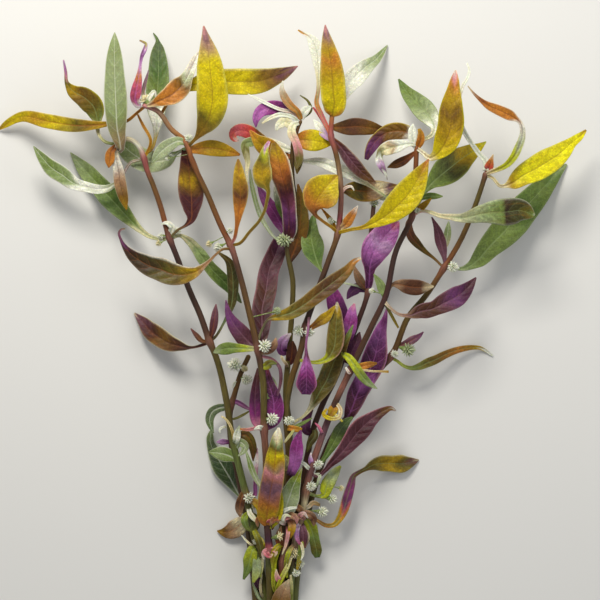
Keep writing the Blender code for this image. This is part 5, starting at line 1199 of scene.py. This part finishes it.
# The flower heads
# Small stalkless heads in the axils: about forty stiff papery tepals, whitish with a green foot, that
# spread from a plump core. Two are tighter, longer buds, at the tip and the foot of stem b. Each stem's
# are one group.

TEPAL_ROWS, CORE_ROWS, CORE_AROUND = 6, 16, 12
GOLDEN_TURN = math.pi * (3.0 - math.sqrt(5.0))
# How an open head and a bud are made: number of tepals, how far round they reach, their length, their
# half width as a share of it, and how far they curve inwards
OPEN_HEAD, TIGHT_BUD = (40, 1.45, 1.0, 0.20, 0.7), (14, 0.45, 1.25, 0.26, -1.0)
TEPAL_KEEL = (-1.0, 0.10), (0.0, 0.50), (1.0, 0.10), (0.0, -0.25)
TEPAL_LENGTH, LENGTH_RANGE, LENGTH_STEP = 0.98, 0.24, 0.7549
CORE_AHEAD, CORE_WIDTH, CORE_SWELLING = 0.35, 0.11, 0.36  # shares of the head's radius


def papery_material():
    """Dry tepals: their own tint, paler and duller in fine flecks."""
    material, tree, shader = plant_skin("papery tepal")
    fleck = noise(tree, wired(tree, "ShaderNodeTexCoord").outputs["Object"], 1800.0)
    dusty = blended(tree, fade(tree, fleck, 0.45, 0.75, 0.0, 0.55), marked(tree, "tint", "Color"),
                    (0.62, 0.60, 0.46, 1.0))
    tree.links.new(dusty, shader.inputs["Base Color"])
    tree.links.new(fade(tree, fleck, 0.3, 0.7, 0.62, 0.48), shader.inputs["Roughness"])
    raised(tree, shader, fleck, strength=0.3, distance=0.05 * MM)
    shader.inputs["Subsurface Weight"].default_value = 0.12
    return material


PAPERY = papery_material()
HEAD_TINTS = {"white": ("sage", "white"), "green": ("leek", "silver"), "tan": ("bronze", "cream"),
              "grey": ("fern", "silver"), "lime": ("lime", "white"), "rose": ("rose", "white"),
              "pale bud": ("sage", "cream")}


def flower_head(stem, u, v, radius, lift=0.0, mood="white"):
    """A head's core and its tepals.

    The core is a thin tube from the stem's middle that swells as a bell curve at the head. Tepal number
    n points at a turn of n golden angles about the head's axis, with its lean spread evenly from
    straight ahead to behind the core. A tepal is a keeled, pointed boat that curves inwards, and its
    length changes by the fraction of n * LENGTH_STEP.
    """
    grown = STEMS[stem]
    root = grown.line[min(grown.nearest((u, v)), len(grown.line) - 6)]
    centre = on_table([(u, v, 0.0)])[0]
    centre[2] = root[2] + lift * MM
    reach = radius * SQUARE
    axis = unit(centre - root + np.array((0.0, 0.0, CORE_AHEAD * reach)))
    side = unit(np.cross(axis, (0.3, 0.9, 0.1)))
    ahead = np.cross(side, axis)
    count, spread, stretch, half_wide, curve = TIGHT_BUD if "bud" in mood else OPEN_HEAD
    number = np.arange(count)
    up = 1.0 - (number + 0.5) / count * spread
    turn = number * GOLDEN_TURN
    flat = np.sqrt(1.0 - up**2)
    way = (axis * up[:, None] + side * (flat * np.cos(turn))[:, None]
           + ahead * (flat * np.sin(turn))[:, None])
    across = unit(np.cross(way, axis + 0.013))
    turned = np.stack((way, across, np.cross(across, way)), axis=1)
    length = reach * (TEPAL_LENGTH + LENGTH_RANGE * ((number * LENGTH_STEP) % 1.0 - 0.5)) * stretch
    share = np.linspace(0.0, 1.0, TEPAL_ROWS)
    wide = half_wide * np.sin(np.pi * share**0.8) ** 0.8 + 0.012
    out = 0.12 + 0.88 * share
    bend = (0.20 * out**2 - 0.08) * curve
    ring = np.stack([np.stack((out, beside * wide, bend + above * wide), axis=-1)
                     for beside, above in TEPAL_KEEL], axis=1).reshape(-1, 3)
    points = centre + np.einsum("pk,nkc->npc", ring, turned * length[:, None, None])
    points[..., 2] = np.maximum(points[..., 2], TABLE_GAP)
    corners = len(TEPAL_KEEL)
    faces = [[corner + int(n) * len(ring) for corner in face] for n in number
             for face in ring_faces(TEPAL_ROWS, corners)]
    foot, end = (np.array(TINTS[name]) for name in HEAD_TINTS[mood])
    grade = np.repeat(np.clip(share * 1.6, 0.0, 1.0), corners)[:, None]
    tint = np.tile(foot + (end - foot) * grade, (count, 1))
    tepals = (points.reshape(-1, 3), faces, {"tint": tint}, PAPERY)

    angle = np.linspace(0.0, 2.0 * np.pi, CORE_AROUND, endpoint=False)
    rise = np.linspace(0.0, 1.0, CORE_ROWS)
    line = root + (centre + axis * CORE_AHEAD * reach - root) * rise[:, None]
    apart = np.linalg.norm(line - centre, axis=1)
    swelling = CORE_SWELLING * np.exp(-(apart / (0.7 * reach)) ** 2)
    bulge = reach * (CORE_WIDTH + swelling) * np.where(rise > 0.95, 0.4, 1.0)
    core = (line[:, None, :] + side * (bulge[:, None] * np.cos(angle))[..., None]
            + ahead * (bulge[:, None] * np.sin(angle))[..., None]).reshape(-1, 3)
    core_tint = np.tile(TINTS["leek"], (len(core), 1))
    return [(core, ring_faces(CORE_ROWS, CORE_AROUND), {"tint": core_tint}, PAPERY), tepals]


# Each head: its middle as (u, v), its radius in squares, its lift over the stem in mm, and its mood
for stem, heads in [
    ("a", [(161, 236, 4.5), (177, 231, 5), (249, 499, 7, 1.5), (159, 243, 4, 0.5, "tan"),
           (240, 505, 3, 0.5), (254, 507, 4, 1, "tan"), (256, 543, 4.5, 1, "lime")]),
    ("b", [(189, 139, 5, 0.5), (219, 247, 6), (230, 231, 4, 1), (265, 346, 8, 1.5), (272, 419, 7.5, 1),
           (148, 103, 7, 0, "pale bud"), (172, 154, 4, -2), (277, 538, 6, 1, "pale bud"),
           (277, 311, 5, 3, "green"), (168, 159, 3, -2), (210, 244, 4.5, 0, "tan")]),
    ("b2", [(235, 365, 8.5, 2), (246, 380, 6.5, 2), (244, 369, 4, 1, "tan")]),
    ("c", [(284, 240, 8, 1, "grey"), (292, 239, 3, 1)]),
    ("d", [(331, 221, 4.5, 1), (346, 221, 4.5, 0), (299, 331, 6.5, 1), (309, 332, 6, 1), (289, 421, 6, 1),
           (295, 529, 4, 1, "rose")]),
    ("e", [(417, 211, 4, 1), (372, 291, 4, 0, "lime"), (318, 465, 6, 1), (311, 487, 6, 1),
           (322, 513, 7, 1, "lime"), (293, 555, 7, 1, "tan"), (300, 566, 5.5, 0.5, "lime"),
           (296, 575, 5, 1), (332, 500, 6.5, 0, "lime"), (341, 489, 4, 0, "tan")]),
    ("f", [(361, 286, 3.5, 0, "lime"), (375, 203, 6, 0)]),
    ("g", [(453, 267, 6.5, 2), (408, 350, 8.5, 0.5, "green"), (395, 354, 4.5, 1)]),
]:
    parts = [part for head in heads for part in flower_head(stem, *head)]
    add_piece(f"flower_heads_{stem}", parts)

# The table, the light and the camera
# A plain pale surface, one large soft lamp beyond the shoot tips that falls off towards the foot, a
# weaker one from the right, and a camera that looks straight down from a metre and a half.

TABLE_SIZE, TABLE_DROP = 6.0, 0.2 * MM
KEY_PLACE, KEY_AIM, KEY_SIZE, KEY_POWER = (-0.10, 0.42, 0.42), (0.0, 0.06, 0.02), 0.22, 3.2
SIDE_PLACE, SIDE_AIM, SIDE_SIZE, SIDE_POWER = (0.55, 0.15, 0.45), (0.0, 0.0, 0.02), 0.40, 0.8
WARM_WHITE, COOL_WHITE, ROOM_POWER = (1.0, 0.97, 0.90), (0.95, 0.97, 1.0), 0.40
VIEW_HEIGHT, FOCUS_HEIGHT, SENSOR_MM = 1.52, 0.02, 36.0
FRAME_U, FRAME_V, FRAME_SQUARES = 300.0, 300.0, 600  # the sheet's middle and its width

table_mesh = bpy.data.meshes.new("table")
half = TABLE_SIZE / 2
table_mesh.from_pydata([(x, y, -TABLE_DROP) for x, y in
                        ((-half, -half), (half, -half), (half, half), (-half, half))], [], [(0, 1, 2, 3)])
table, tree, shader = plant_skin("pale table")
shader.inputs["Base Color"].default_value = (0.72, 0.71, 0.68, 1.0)
shader.inputs["Roughness"].default_value = 0.8
table_mesh.materials.append(table)
table_top = bpy.data.objects.new("table_top", table_mesh)
bpy.context.scene.collection.objects.link(table_top)


def soft_lamp(name, place, aim, size, power, colour):
    """A square area lamp at a place, turned to face a point."""
    lamp = bpy.data.lights.new(name, "AREA")
    lamp.size, lamp.energy, lamp.color = size, power, colour
    made = bpy.data.objects.new(name, lamp)
    made.location = place
    made.rotation_euler = (Vector(aim) - Vector(place)).to_track_quat("-Z", "Y").to_euler()
    bpy.context.scene.collection.objects.link(made)


soft_lamp("key_lamp", KEY_PLACE, KEY_AIM, KEY_SIZE, KEY_POWER, WARM_WHITE)
soft_lamp("side_lamp", SIDE_PLACE, SIDE_AIM, SIDE_SIZE, SIDE_POWER, COOL_WHITE)
world = bpy.data.worlds.new("soft_room")
world.use_nodes = True
world.node_tree.nodes["Background"].inputs["Color"].default_value = (*COOL_WHITE, 1.0)
world.node_tree.nodes["Background"].inputs["Strength"].default_value = ROOM_POWER
bpy.context.scene.world = world
bpy.context.scene.view_settings.view_transform = "Standard"

lens = bpy.data.cameras.new("view_from_above")
lens.sensor_width = SENSOR_MM
lens.lens = SENSOR_MM * (VIEW_HEIGHT - FOCUS_HEIGHT) / (FRAME_SQUARES * SQUARE)
camera = bpy.data.objects.new("view_from_above", lens)
camera.location = (*on_table([(FRAME_U, FRAME_V, 0.0)])[0][:2], VIEW_HEIGHT)
bpy.context.scene.collection.objects.link(camera)
bpy.context.scene.camera = camera
